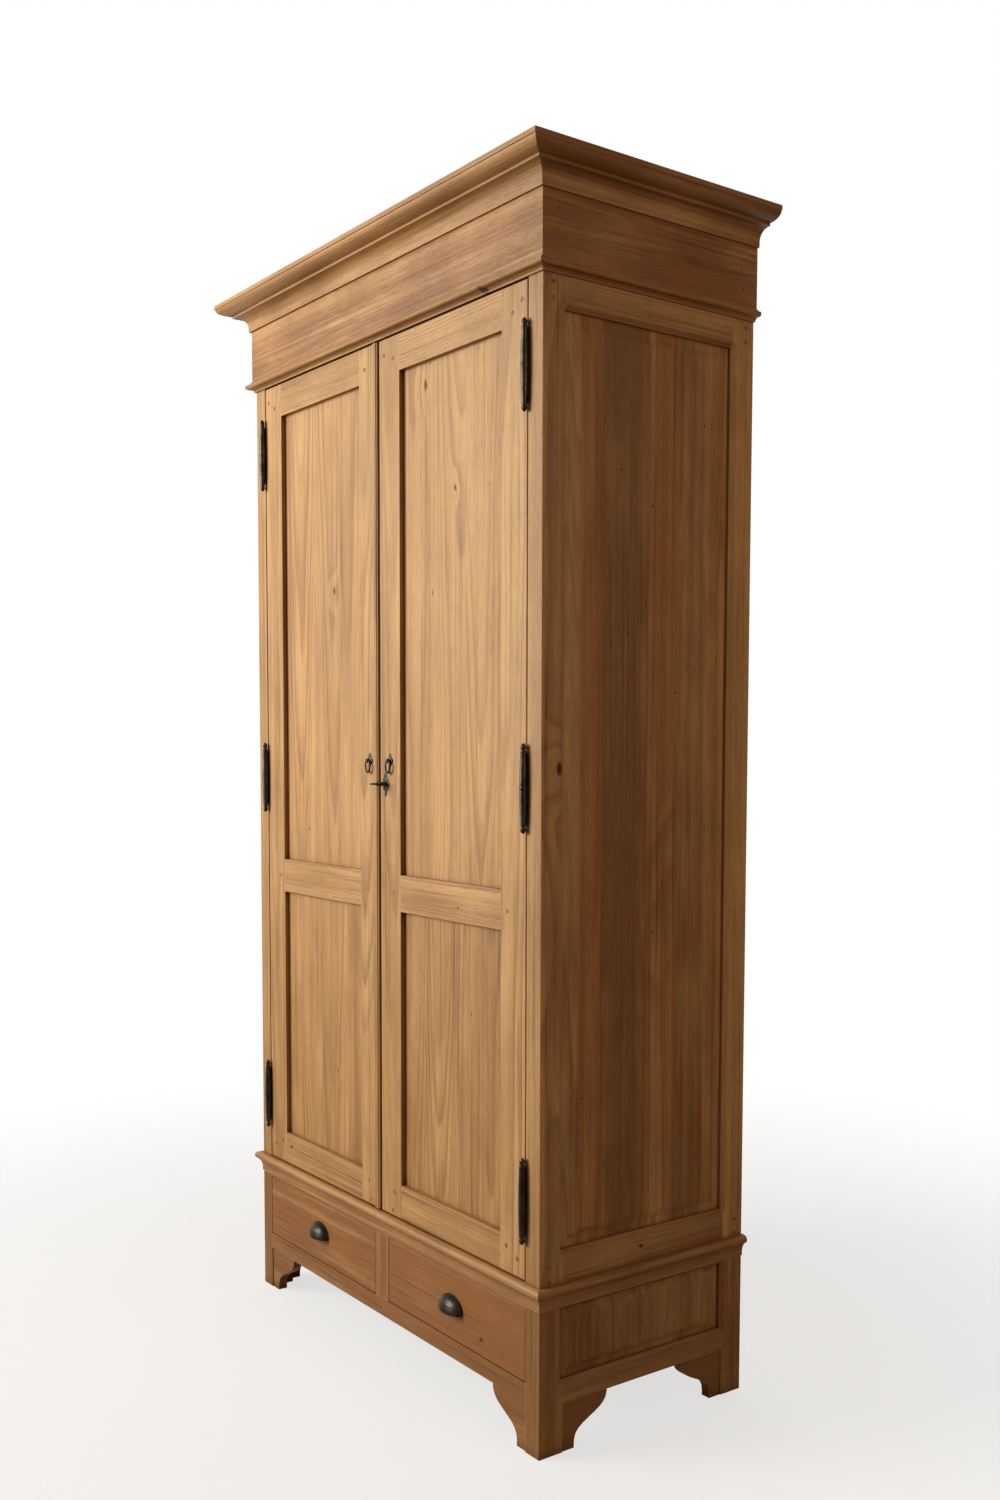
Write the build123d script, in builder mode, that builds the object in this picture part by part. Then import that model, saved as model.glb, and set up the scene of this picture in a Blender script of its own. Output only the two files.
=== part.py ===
from build123d import *
import os

# Two-door armoire of oiled hardwood with a pair of drawers in its base.
# Millimetres, +Z up, front facing -Y, origin on the floor under the middle of the whole piece.

# --- Driving dimensions -------------------------------------------------------------------------
overall_height = 2200
body_width = 1055
body_depth = 483
cornice_reach = 68

# Levels, each one a height of its own
foot_height = 88
front_rail_height = 36
drawer_opening_height = 132
base_top_rail_height = 30
floor_thickness = 18
cornice_height = 60
frieze_height = 110
necking_height = 21
waist_height = 42
top_thickness = 18

# Posts and frames
post_width = 40
post_depth = 51
frame_bevel = 8
front_rail_thickness = 24
bottom_side_rail_height = 74
top_side_rail_drop = 52
base_side_rail_height = 40
base_side_top_rail_height = 32
groove_depth = 8
groove_width = 8
groove_back_wall = 4
panel_setback = 14
field_rise = 4
side_panel_margin = 28
base_panel_margin = 22
edge_break = 1.2

# Mouldings: hollows and rounds given by their radii, flats by their widths
mitre_gap = 0.3
frieze_thickness = 7
waist_reach = 15
waist_nose_radius = 8
waist_foot = 2
waist_hollow_radius = 26
necking_foot = 4
necking_hollow_radius = 11
bead_radius = 5
bead_stand_out = 7
bead_level = 12
cornice_fillet_stand_out = 5
cornice_fillet_height = 9
cornice_hollow_radius = 22
cornice_step_width = 4
cornice_step_height = 5
cornice_lip_height = 9
cornice_quirk = 2

# Foot brackets
bracket_width = 102
bracket_thickness = 20
bracket_setback = 2

# Doors
door_thickness = 24
door_gap = 3
stile_width = 74
door_top_rail_height = 67
door_bottom_rail_height = 66
door_middle_rail_height = 71
middle_rail_level = 912
door_panel_recess = 10
strip_width = 20
strip_thickness = 7
strip_flat_width = 5
strip_flat_thickness = 3.5
strip_edge_width = 4
strip_edge_thickness = 4
stop_clearance = 0.5

# Hinges
hinge_half_length = 77
hinge_radius = 7
hinge_end_radius = 5.2
hinge_standoff = 0.5
hinge_pin_radius = 3
hinge_running_clearance = 0.05
hinge_split = 0.3
leaf_thickness = 1.6
leaf_setback = 2
leaf_height = 56
leaf_distance = 3
knuckle_tip_length = 14
knuckle_neck_depth = 1.6
knuckle_tip_radius = 2.5
hinge_end_distance = 141
middle_hinge_rise = 4.5

# Drawers
divider_width = 50
drawer_gap = 1.5
drawer_front_thickness = 20
drawer_side_thickness = 12
drawer_side_inset = 1
drawer_back_clearance = 41
drawer_top_clearance = 26
drawer_bottom_thickness = 6
drawer_bottom_lift = 6
runner_clearance = 0.3
runner_height = 20
runner_ledge = 27.5
guide_height = 16
guide_clearance = 1

# Cup pulls
cup_width = 68
cup_height = 30
cup_projection = 21
cup_wall = 2
cup_lift = 10

# Ring pulls, lock and key
pull_level = 1203
ring_half_width = 8
ring_half_height = 11.5
ring_wire_radius = 1.5
ring_standoff = 6
rosette_radius = 10
rosette_thickness = 2.5
rosette_top_lobe = 4.5
rosette_foot_lobe = 3.5
ring_post_width = 5
ring_eye_wall = 1.7
ring_eye_clearance = 0.8
key_level = 1158
key_backset = 20.5
key_radius = 3
key_bore_radius = 4
key_bit_reach = 9.5
key_bit_height = 2.5
key_slot_clearance = 0.5
key_tip_clearance = 1.5
key_stem_stand_out = 20
key_collar_radius = 5
key_collar_stand_out = 15
key_collar_length = 3
key_bow_stand_out = 27
key_bow_half_width = 11
key_bow_half_depth = 8
key_bow_wall = 4
key_bow_thickness = 3.5
escutcheon_thickness = 1.8
escutcheon_boss_radius = 6.5
escutcheon_boss_height = 2.2
escutcheon_middle_radius = 12
escutcheon_lobe_radius = 7
escutcheon_lobe_rise = 14
escutcheon_tip_radius = 4
escutcheon_tip_rise = 21
lock_width = 50
lock_drop = 28
lock_rise = 32
lock_depth = 14
lock_wall = 1.5
lock_bolt_height = 10
lock_bolt_thickness = 5.4
lock_bolt_length = 37
lock_bolt_play = 0.3
lock_bolt_setback = 3.3
lock_edge_distance = 1

# Bolts of the left door
rod_radius = 4
rod_clearance = 0.06
rod_offset = 7
rod_backset = 28.5
upper_rod_length = 350
lower_rod_length = 300
rod_end_gap = 5
bracket_block = 10
keep_thickness = 1.5
keep_half_width = 16
keep_edge_distance = 1
keep_hole_clearance = 0.5
rod_knob_stem_radius = 3
rod_knob_stem_length = 10
rod_knob_radius = 5
rod_knob_thickness = 4
upper_knob_rise = 105
lower_knob_rise = 210
bracket_end_distance = 20
bracket_wall = 3

# Inside
back_thickness = 12
back_rail_thickness = 22
back_rail_height = 50
back_middle_rail_level = 1200
back_board_count = 8
top_board_count = 4
board_gap = 0.4
shelf_drop = 347
shelf_thickness = 18
shelf_front_setback = 55
shelf_clearance = 0.5
shelf_nosing_radius = 4
cleat_section = 20
stop_depth = 20
stop_lap = 14
floor_stop_height = 12
hanging_rail_radius = 14
hanging_rail_drop = 52
socket_width = 60
socket_insert = 12.5
socket_clearance = 0.2

# Pegs through the mortise and tenon joints
peg_radius = 4
peg_depth = 14
peg_stand_out = 0.4
peg_spacing = 26
peg_setback = 20

# --- Reference planes worked out from the driving dimensions ------------------------------------
half_width = body_width / 2
front = (cornice_reach - body_depth) / 2
back = front + body_depth
drawer_low = foot_height + front_rail_height
drawer_high = drawer_low + drawer_opening_height
base_top = drawer_high + base_top_rail_height
floor_top = base_top + floor_thickness
cornice_low = overall_height - cornice_height
frieze_low = cornice_low - frieze_height
opening_top = frieze_low - necking_height
post_top = overall_height - top_thickness
waist_low = floor_top - waist_height
post_inner = half_width - post_width
frame_inner = half_width - panel_setback - groove_width - groove_back_wall
side_front = front + post_depth
side_back = back - post_depth
panel_outer = half_width - panel_setback
side_opening_low = base_top + bottom_side_rail_height
side_opening_high = opening_top - top_side_rail_drop
base_opening_low = foot_height + base_side_rail_height
base_opening_high = base_top - base_side_top_rail_height
door_low = floor_top + door_gap
door_high = opening_top - door_gap
door_inner = door_gap / 2
door_outer = post_inner - door_gap
door_back = front + door_thickness
hinge_levels = (
    door_low + hinge_end_distance,
    (door_low + door_high) / 2 + middle_hinge_rise,
    door_high - hinge_end_distance,
)
hinge_x = post_inner - door_gap / 2
hinge_y = front - hinge_radius - hinge_standoff
key_x = door_inner + key_backset
key_slot_half = key_bit_height / 2 + key_slot_clearance
key_slot_low = key_level - key_bit_reach - 2 * key_slot_clearance
pull_x = door_inner + stile_width / 2
rod_x = door_inner + rod_backset
rod_y = door_back + rod_offset
shelf_level = opening_top - shelf_drop
stop_front = door_back + stop_clearance
stop_back = stop_front + stop_depth
drawer_middle_x = (divider_width / 2 + post_inner) / 2
back_inner = back - back_thickness
back_rail_front = back_inner - back_rail_thickness

side_plane = Plane(origin=(half_width, 0, 0), x_dir=(0, 1, 0), z_dir=(1, 0, 0))
face_plane = Plane(origin=(0, front, 0), x_dir=(1, 0, 0), z_dir=(0, -1, 0))

os.makedirs("parts", exist_ok=True)


def block(low, high, mode=Mode.ADD):
    """A square-edged block between two opposite corners, in the piece being built."""
    middle = tuple((a + b) / 2 for a, b in zip(low, high))
    with Locations(middle):
        Box(*(b - a for a, b in zip(low, high)), mode=mode)


def round_bar(centre, radius, depth, axis_plane, mode=Mode.SUBTRACT):
    """A round hole or bar whose mouth is at centre and which runs in along the plane's -Z."""
    with Locations(Plane(origin=centre, x_dir=axis_plane.x_dir, z_dir=axis_plane.z_dir)):
        Cylinder(radius, depth, align=(Align.CENTER, Align.CENTER, Align.MAX), mode=mode)


def bevelled_opening(low, high):
    """Cut the mitred bevel round an opening in the right-hand side frame, narrowing inwards."""
    middle = ((low[0] + high[0]) / 2, (low[1] + high[1]) / 2)
    width = high[0] - low[0] + 2 * frame_bevel
    height = high[1] - low[1] + 2 * frame_bevel
    with BuildSketch(side_plane) as rim:
        with Locations(middle):
            Rectangle(width, height)
    extrude(rim.sketch, amount=-frame_bevel, taper=45, mode=Mode.SUBTRACT)


def bevel_side_frames():
    """Bevel the edges that face the upper side panel and the base side panel."""
    bevelled_opening((side_front, side_opening_low), (side_back, side_opening_high))
    bevelled_opening((side_front, base_opening_low), (side_back, base_opening_high))


def both_sides():
    """Add the mirror image on the other side of the armoire."""
    mirror(about=Plane.YZ)


def one_side(side):
    """Keep the right-hand piece, or turn it into its left-hand twin."""
    if side == "left":
        mirror(about=Plane.YZ, mode=Mode.REPLACE)


def keep(piece, name):
    """Label a finished piece and write it to its own file."""
    piece.part.label = name
    export_step(piece.part, f"parts/{name}.step")


# --- Base: posts, rails, brackets and panels ----------------------------------------------------
def groove_on_side(low, high):
    """Groove in the side frame that holds a panel's edge and the rails' stub tenons."""
    block((panel_outer - groove_width, low[0], low[1]), (panel_outer, high[0], high[1]), Mode.SUBTRACT)


def post_pair(bottom, top):
    """Right-hand front and back posts between two levels, grooved for the side panel."""
    for near, far in ((front, side_front), (side_back, back)):
        block((post_inner, near, bottom), (half_width, far, top))
    groove_on_side((side_front - groove_depth, bottom), (side_front, top))
    groove_on_side((side_back, bottom), (side_back + groove_depth, top))
    bevel_side_frames()


with BuildPart() as base_posts:
    post_pair(0, base_top)
    outer_edges = base_posts.edges().filter_by(Axis.Z).group_by(Axis.X)[-1]
    chamfer(outer_edges.group_by(Axis.Y)[0] + outer_edges.group_by(Axis.Y)[-1], edge_break)
    both_sides()
keep(base_posts, "base_posts")


def bracket_outline(plane):
    """Ogee foot bracket: round at the top, hollow below, then straight down to a narrow foot."""
    with BuildSketch(plane) as outline:
        with BuildLine():
            ogee = Spline(
                (bracket_width, foot_height),
                (0.82 * bracket_width, 0.66 * foot_height),
                (0.44 * bracket_width, 0.43 * foot_height),
                (0.27 * bracket_width, 0.08 * foot_height),
                tangents=[(0, -1), (0, -1)],
            )
            Polyline(ogee @ 1, (0.27 * bracket_width, 0), (0, 0), (0, foot_height), ogee @ 0)
        make_face()
    return outline.sketch


with BuildPart() as foot_brackets:
    front_bracket_plane = Plane(
        origin=(post_inner, front + bracket_setback, 0), x_dir=(-1, 0, 0), z_dir=(0, 1, 0)
    )
    extrude(bracket_outline(front_bracket_plane), amount=bracket_thickness)
    near_bracket_plane = Plane(
        origin=(half_width - bracket_setback, side_front, 0), x_dir=(0, 1, 0), z_dir=(1, 0, 0)
    )
    extrude(bracket_outline(near_bracket_plane), amount=-bracket_thickness)
    far_bracket_plane = Plane(
        origin=(half_width - bracket_setback, side_back, 0), x_dir=(0, -1, 0), z_dir=(-1, 0, 0)
    )
    extrude(bracket_outline(far_bracket_plane), amount=bracket_thickness)
    both_sides()
keep(foot_brackets, "foot_brackets")

with BuildPart() as front_lower_rail:
    block((-post_inner, front, foot_height), (post_inner, front + front_rail_thickness, drawer_low))
    lower_edge = front_lower_rail.edges().filter_by(Axis.X).group_by(Axis.Z)[0].sort_by(Axis.Y)[0]
    chamfer(lower_edge, edge_break)
keep(front_lower_rail, "front_lower_rail")

with BuildPart() as base_top_rail:
    block((-post_inner, front, drawer_high), (post_inner, front + front_rail_thickness, base_top))
keep(base_top_rail, "base_top_rail")

with BuildPart() as drawer_divider:
    block(
        (-divider_width / 2, front, drawer_low),
        (divider_width / 2, front + front_rail_thickness, drawer_high),
    )
keep(drawer_divider, "drawer_divider")


def side_rail(bottom, top):
    """Right-hand side rail between two levels, with stub tenons that fill the posts' grooves."""
    block((frame_inner, side_front, bottom), (half_width, side_back, top))
    block(
        (panel_outer - groove_width, side_front - groove_depth, bottom),
        (panel_outer, side_back + groove_depth, top),
    )


with BuildPart() as base_side_rails:
    side_rail(foot_height, base_opening_low)
    side_rail(base_opening_high, base_top)
    groove_on_side(
        (side_front - groove_depth, base_opening_low - groove_depth),
        (side_back + groove_depth, base_opening_high + groove_depth),
    )
    bevel_side_frames()
    both_sides()
keep(base_side_rails, "base_side_rails")


def fielded_panel(low, high, margin):
    """Glued-up raised panel: thin edges in the groove, sloping up to a flat field outside.

    low and high are the sight size as (y, z); margin is the width of the sloping border.
    """
    block(
        (panel_outer - groove_width, low[0] - groove_depth, low[1] - groove_depth),
        (panel_outer, high[0] + groove_depth, high[1] + groove_depth),
    )
    panel_middle = ((low[0] + high[0]) / 2, (low[1] + high[1]) / 2)
    slope_plane = Plane(origin=(panel_outer, 0, 0), x_dir=side_plane.x_dir, z_dir=side_plane.z_dir)
    with BuildSketch(slope_plane) as foot_of_slope:
        with Locations(panel_middle):
            Rectangle(high[0] - low[0] - margin, high[1] - low[1] - margin)
    with BuildSketch(slope_plane.offset(field_rise)) as field:
        with Locations(panel_middle):
            Rectangle(high[0] - low[0] - 2 * margin, high[1] - low[1] - 2 * margin)
    loft([foot_of_slope.sketch.face(), field.sketch.face()])


with BuildPart() as base_side_panels:
    fielded_panel((side_front, base_opening_low), (side_back, base_opening_high), base_panel_margin)
    both_sides()
keep(base_side_panels, "base_side_panels")

with BuildPart() as base_back_board:
    block((-post_inner, back_inner, foot_height), (post_inner, back, base_top))
keep(base_back_board, "base_back_board")

with BuildPart() as drawer_runners:
    runner_low = drawer_low - runner_height
    runner_start = front + front_rail_thickness
    block((post_inner - runner_ledge, runner_start, runner_low), (post_inner, back_inner, drawer_low))
    both_sides()
    middle_half = divider_width / 2 + runner_ledge
    block((-middle_half, runner_start, runner_low), (middle_half, back_inner, drawer_low))
    guide_half = divider_width / 2 + drawer_gap + drawer_side_inset - guide_clearance
    block(
        (-guide_half, runner_start, drawer_low),
        (guide_half, back_inner, drawer_low + guide_height),
    )
keep(drawer_runners, "drawer_runners")

with BuildPart() as cabinet_floor:
    block((-frame_inner, front, base_top), (frame_inner, back_inner, floor_top))
    for corner_front, corner_back in ((front, side_front), (side_back, back)):
        for inner, outer in ((-frame_inner, -post_inner), (post_inner, frame_inner)):
            block((inner, corner_front, base_top), (outer, corner_back, floor_top), Mode.SUBTRACT)
    lower_bolt_hole = rod_radius + keep_hole_clearance
    with Locations((-rod_x, rod_y, floor_top)):
        Cylinder(
            lower_bolt_hole, floor_thickness / 2,
            align=(Align.CENTER, Align.CENTER, Align.MAX), mode=Mode.SUBTRACT,
        )
keep(cabinet_floor, "cabinet_floor")


# --- Mouldings: each runs along the front and both sides, mitred at the front corners -----------
front_run_plane = Plane(origin=(0, front, 0), x_dir=(0, -1, 0), z_dir=(-1, 0, 0))
side_run_plane = Plane(origin=(half_width, back, 0), x_dir=(1, 0, 0), z_dir=(0, -1, 0))
right_mitre = Plane(origin=(half_width, front, 0), x_dir=(0, 0, 1), z_dir=(1, 1, 0))
left_mitre = Plane(origin=(-half_width, front, 0), x_dir=(0, 0, 1), z_dir=(-1, 1, 0))


def mitred_run(name, outline, reach):
    """Front, left and right lengths of one moulding, as three separate solids."""
    with BuildPart() as front_length:
        with BuildSketch(front_run_plane):
            add(outline)
        extrude(amount=half_width + reach, both=True)
        split(bisect_by=right_mitre.offset(-mitre_gap / 2), keep=Keep.BOTTOM)
        split(bisect_by=left_mitre.offset(-mitre_gap / 2), keep=Keep.BOTTOM)
    with BuildPart() as side_lengths:
        with BuildSketch(side_run_plane):
            add(outline)
        extrude(amount=body_depth + reach)
        split(bisect_by=right_mitre.offset(mitre_gap / 2), keep=Keep.TOP)
        both_sides()
    with BuildPart() as run:
        add(front_length.part)
        add(side_lengths.part)
    keep(run, name)


# Waist: a hollow rising to a half-round nose; its top is level with the cabinet floor.
with BuildSketch() as waist_outline:
    with BuildLine():
        nose_x = waist_reach - waist_nose_radius
        nose_z = floor_top - waist_nose_radius - edge_break / 2
        nose_low = (nose_x, nose_z - waist_nose_radius)
        nose_high = (nose_x, nose_z + waist_nose_radius)
        hollow_low = (waist_foot, waist_low + 2 * waist_foot)
        hollow_high = (nose_x + 1, nose_low[1] - 1)
        Polyline((0, floor_top), (0, waist_low), (waist_foot, waist_low), hollow_low)
        RadiusArc(hollow_low, hollow_high, waist_hollow_radius)
        Polyline(hollow_high, (hollow_high[0], nose_low[1]), nose_low)
        ThreePointArc(nose_low, (waist_reach, nose_z), nose_high)
        Polyline(nose_high, (nose_x - waist_foot, floor_top), (0, floor_top))
    make_face()
mitred_run("waist_moulding", waist_outline.sketch, waist_reach)

# Necking: a small hollow under a round bead, with a narrow flat on top against the frieze.
with BuildSketch() as necking_outline:
    with BuildLine():
        bead_x = frieze_thickness + bead_stand_out
        bead_z = opening_top + bead_level
        bead_low = (bead_x, bead_z - bead_radius)
        bead_high = (bead_x, bead_z + bead_radius)
        hollow_low = (necking_foot, opening_top + necking_foot - 1)
        flat_x = frieze_thickness + bead_stand_out / 2
        Polyline((0, frieze_low), (0, opening_top), (necking_foot, opening_top), hollow_low)
        RadiusArc(hollow_low, bead_low, necking_hollow_radius)
        ThreePointArc(bead_low, (bead_x + bead_radius, bead_z), bead_high)
        Polyline(bead_high, (flat_x, bead_high[1]), (flat_x, frieze_low), (0, frieze_low))
    make_face()
mitred_run("necking_moulding", necking_outline.sketch, bead_x + bead_radius)

with BuildSketch() as frieze_outline:
    with Locations((0, frieze_low)):
        Rectangle(frieze_thickness, frieze_height, align=(Align.MIN, Align.MIN))
mitred_run("frieze_boards", frieze_outline.sketch, frieze_thickness)

# Cornice: fillet against the frieze, hollow, small step, large round and a narrow flat lip.
with BuildSketch() as cornice_outline:
    with BuildLine():
        fillet_x = frieze_thickness + cornice_fillet_stand_out
        fillet_high = (fillet_x, cornice_low + cornice_fillet_height)
        hollow_end = (fillet_x + cornice_hollow_radius, fillet_high[1] + cornice_hollow_radius)
        step_x = hollow_end[0] + cornice_step_width
        step_z = hollow_end[1] + cornice_step_height
        lip_z = overall_height - cornice_lip_height
        round_x = cornice_reach - cornice_quirk
        Polyline((0, overall_height), (0, cornice_low), (fillet_x, cornice_low), fillet_high)
        RadiusArc(fillet_high, hollow_end, cornice_hollow_radius)
        Polyline(hollow_end, (step_x, hollow_end[1]), (step_x, step_z))
        EllipticalCenterArc(
            (step_x, lip_z), round_x - step_x, lip_z - step_z, start_angle=270, arc_size=90
        )
        Polyline(
            (round_x, lip_z),
            (cornice_reach, lip_z),
            (cornice_reach, overall_height - edge_break),
            (cornice_reach - edge_break, overall_height),
            (0, overall_height),
        )
    make_face()
mitred_run("cornice", cornice_outline.sketch, cornice_reach)

# --- Upper case: posts, side frames, header and boards ------------------------------------------
peg_lines = (
    (base_top + bottom_side_rail_height / 2, front + peg_setback),
    (base_top + bottom_side_rail_height / 2, back - peg_setback),
    (side_opening_high + top_side_rail_drop / 2, front + peg_setback),
    (side_opening_high + top_side_rail_drop / 2, back - peg_setback),
)
peg_centres = [
    (half_width, y, z + offset)
    for z, y in peg_lines
    for offset in (-peg_spacing / 2, peg_spacing / 2)
]

with BuildPart() as upper_posts:
    post_pair(base_top, post_top)
    for centre in peg_centres:
        round_bar(centre, peg_radius, peg_depth, side_plane)
    outer_edges = upper_posts.edges().filter_by(Axis.Z).group_by(Axis.X)[-1]
    chamfer(outer_edges.group_by(Axis.Y)[0] + outer_edges.group_by(Axis.Y)[-1], edge_break)
    both_sides()
keep(upper_posts, "upper_posts")

with BuildPart() as frame_pegs:
    for x, y, z in peg_centres:
        round_bar((x + peg_stand_out, y, z), peg_radius, peg_depth + peg_stand_out, side_plane, Mode.ADD)
    both_sides()
keep(frame_pegs, "frame_pegs")

with BuildPart() as side_frame_rails:
    side_rail(base_top, side_opening_low)
    side_rail(side_opening_high, post_top)
    groove_on_side(
        (side_front - groove_depth, side_opening_low - groove_depth),
        (side_back + groove_depth, side_opening_high + groove_depth),
    )
    bevel_side_frames()
    both_sides()
keep(side_frame_rails, "side_frame_rails")

for side in ("left", "right"):
    with BuildPart() as side_panel:
        fielded_panel(
            (side_front, side_opening_low), (side_back, side_opening_high), side_panel_margin
        )
        one_side(side)
    keep(side_panel, f"{side}_side_panel")

with BuildPart() as header_rail:
    block((-post_inner, front, opening_top), (post_inner, front + front_rail_thickness, post_top))
keep(header_rail, "header_rail")

with BuildPart() as back_boards:
    board_width = (2 * post_inner - (back_board_count - 1) * board_gap) / back_board_count
    for index in range(back_board_count):
        left_edge = -post_inner + index * (board_width + board_gap)
        block((left_edge, back_inner, base_top), (left_edge + board_width, back, post_top))
keep(back_boards, "back_boards")

with BuildPart() as back_rails:
    for rail_low in (floor_top, back_middle_rail_level, post_top - back_rail_height):
        block(
            (-post_inner, back_rail_front, rail_low),
            (post_inner, back_inner, rail_low + back_rail_height),
        )
keep(back_rails, "back_rails")

with BuildPart() as top_boards:
    top_board_width = body_depth / top_board_count
    for index in range(top_board_count):
        board_front = front + index * top_board_width
        block(
            (-half_width, board_front, post_top),
            (half_width, board_front + top_board_width - board_gap, overall_height),
        )
keep(top_boards, "top_boards")

with BuildPart() as door_stops:
    block((-post_inner, stop_front, opening_top - stop_lap), (post_inner, stop_back, opening_top))
    block((-post_inner, front + front_rail_thickness, opening_top), (post_inner, stop_back, frieze_low))
    block((-post_inner, stop_front, floor_top), (post_inner, stop_back, floor_top + floor_stop_height))
    for level in (opening_top - stop_lap, floor_top):
        with Locations((-rod_x, rod_y, level)):
            Cylinder(
                rod_radius + keep_hole_clearance, stop_lap + rod_end_gap,
                align=(Align.CENTER, Align.CENTER, Align.MIN), mode=Mode.SUBTRACT,
            )
keep(door_stops, "door_stops")

with BuildPart() as bolt_keeps:
    upper_keep_top = opening_top - stop_lap
    lower_keep_low = floor_top + floor_stop_height
    for keep_low in (upper_keep_top - keep_thickness, lower_keep_low):
        block(
            (-rod_x - keep_half_width, stop_front + keep_edge_distance, keep_low),
            (-rod_x + keep_half_width, stop_back - keep_edge_distance, keep_low + keep_thickness),
        )
        with Locations((-rod_x, rod_y, keep_low)):
            Cylinder(
                rod_radius + keep_hole_clearance, keep_thickness,
                align=(Align.CENTER, Align.CENTER, Align.MIN), mode=Mode.SUBTRACT,
            )
keep(bolt_keeps, "bolt_keeps")

# --- Fittings inside: shelf on cleats, hanging rail in its sockets ------------------------------
with BuildPart() as shelf_cleats:
    block(
        (post_inner - cleat_section, front + shelf_front_setback, shelf_level - cleat_section),
        (post_inner, back_rail_front, shelf_level),
    )
    both_sides()
keep(shelf_cleats, "shelf_cleats")

with BuildPart() as shelf:
    block(
        (-post_inner + shelf_clearance, front + shelf_front_setback, shelf_level),
        (post_inner - shelf_clearance, back_rail_front - shelf_clearance, shelf_level + shelf_thickness),
    )
    front_edges = shelf.edges().filter_by(Axis.X).group_by(Axis.Y)[0]
    fillet(front_edges, shelf_nosing_radius)
keep(shelf, "shelf")

rail_y = (front + shelf_front_setback + back_rail_front) / 2
rail_z = shelf_level - cleat_section - hanging_rail_drop
with BuildPart() as rail_sockets:
    block(
        (post_inner - cleat_section, rail_y - socket_width / 2, rail_z),
        (post_inner, rail_y + socket_width / 2, shelf_level - cleat_section),
    )
    round_bar((post_inner, rail_y, rail_z), socket_width / 2, cleat_section, side_plane, Mode.ADD)
    socket_bore = hanging_rail_radius + socket_clearance
    round_bar((post_inner, rail_y, rail_z), socket_bore, cleat_section, side_plane)
    both_sides()
keep(rail_sockets, "rail_sockets")

with BuildPart() as hanging_rail:
    rail_half = post_inner - cleat_section + socket_insert
    round_bar(
        (rail_half, rail_y, rail_z), hanging_rail_radius, 2 * rail_half, side_plane, Mode.ADD
    )
keep(hanging_rail, "hanging_rail")

# --- Doors --------------------------------------------------------------------------------------
panel_left = door_inner + stile_width
panel_right = door_outer - stile_width
panel_front = front + door_panel_recess
panel_back = panel_front + groove_width
bottom_rail_top = door_low + door_bottom_rail_height
middle_rail_top = middle_rail_level + door_middle_rail_height
top_rail_low = door_high - door_top_rail_height


def soften(stile, exposed_edge):
    """Break the one front edge of a stile that shows: 0 is its left edge and -1 its right."""
    front_edges = stile.edges().filter_by(Axis.Z).group_by(Axis.Y)[0]
    chamfer(front_edges.sort_by(Axis.X)[exposed_edge], edge_break)


def door_stile(side, name, inner, outer, groove_from, groove_to, exposed_edge):
    """Upright of a door frame, grooved on its panel edge for its whole length."""
    with BuildPart() as stile:
        block((inner, front, door_low), (outer, door_back, door_high))
        block((groove_from, panel_front, door_low), (groove_to, panel_back, door_high), Mode.SUBTRACT)
        soften(stile, exposed_edge)
        if name == "right_meeting_stile":
            round_bar((key_x, front, key_level), key_bore_radius, door_thickness, face_plane)
            block(
                (key_x - key_slot_half, front, key_slot_low),
                (key_x + key_slot_half, door_back, key_level),
                Mode.SUBTRACT,
            )
        one_side(side)
    keep(stile, name)


def door_rails(side):
    """Top, middle and bottom rails, each with a stub tenon at both ends and grooved for panels."""
    with BuildPart() as rails:
        for low, high in (
            (door_low, bottom_rail_top),
            (middle_rail_level, middle_rail_top),
            (top_rail_low, door_high),
        ):
            block((panel_left, front, low), (panel_right, door_back, high))
            block(
                (panel_left - groove_depth, panel_front, low),
                (panel_right + groove_depth, panel_back, high),
            )
        for low, high in (
            (bottom_rail_top - groove_depth, bottom_rail_top),
            (middle_rail_level, middle_rail_level + groove_depth),
            (middle_rail_top - groove_depth, middle_rail_top),
            (top_rail_low, top_rail_low + groove_depth),
        ):
            block(
                (panel_left - groove_depth, panel_front, low),
                (panel_right + groove_depth, panel_back, high),
                Mode.SUBTRACT,
            )
        one_side(side)
    keep(rails, f"{side}_door_rails")


def door_panel(side, name, low, high):
    """Flat glued-up panel held in the grooves of the stiles and rails."""
    with BuildPart() as panel:
        block(
            (panel_left - groove_depth, panel_front, low - groove_depth),
            (panel_right + groove_depth, panel_back, high + groove_depth),
        )
        one_side(side)
    keep(panel, name)


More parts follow.
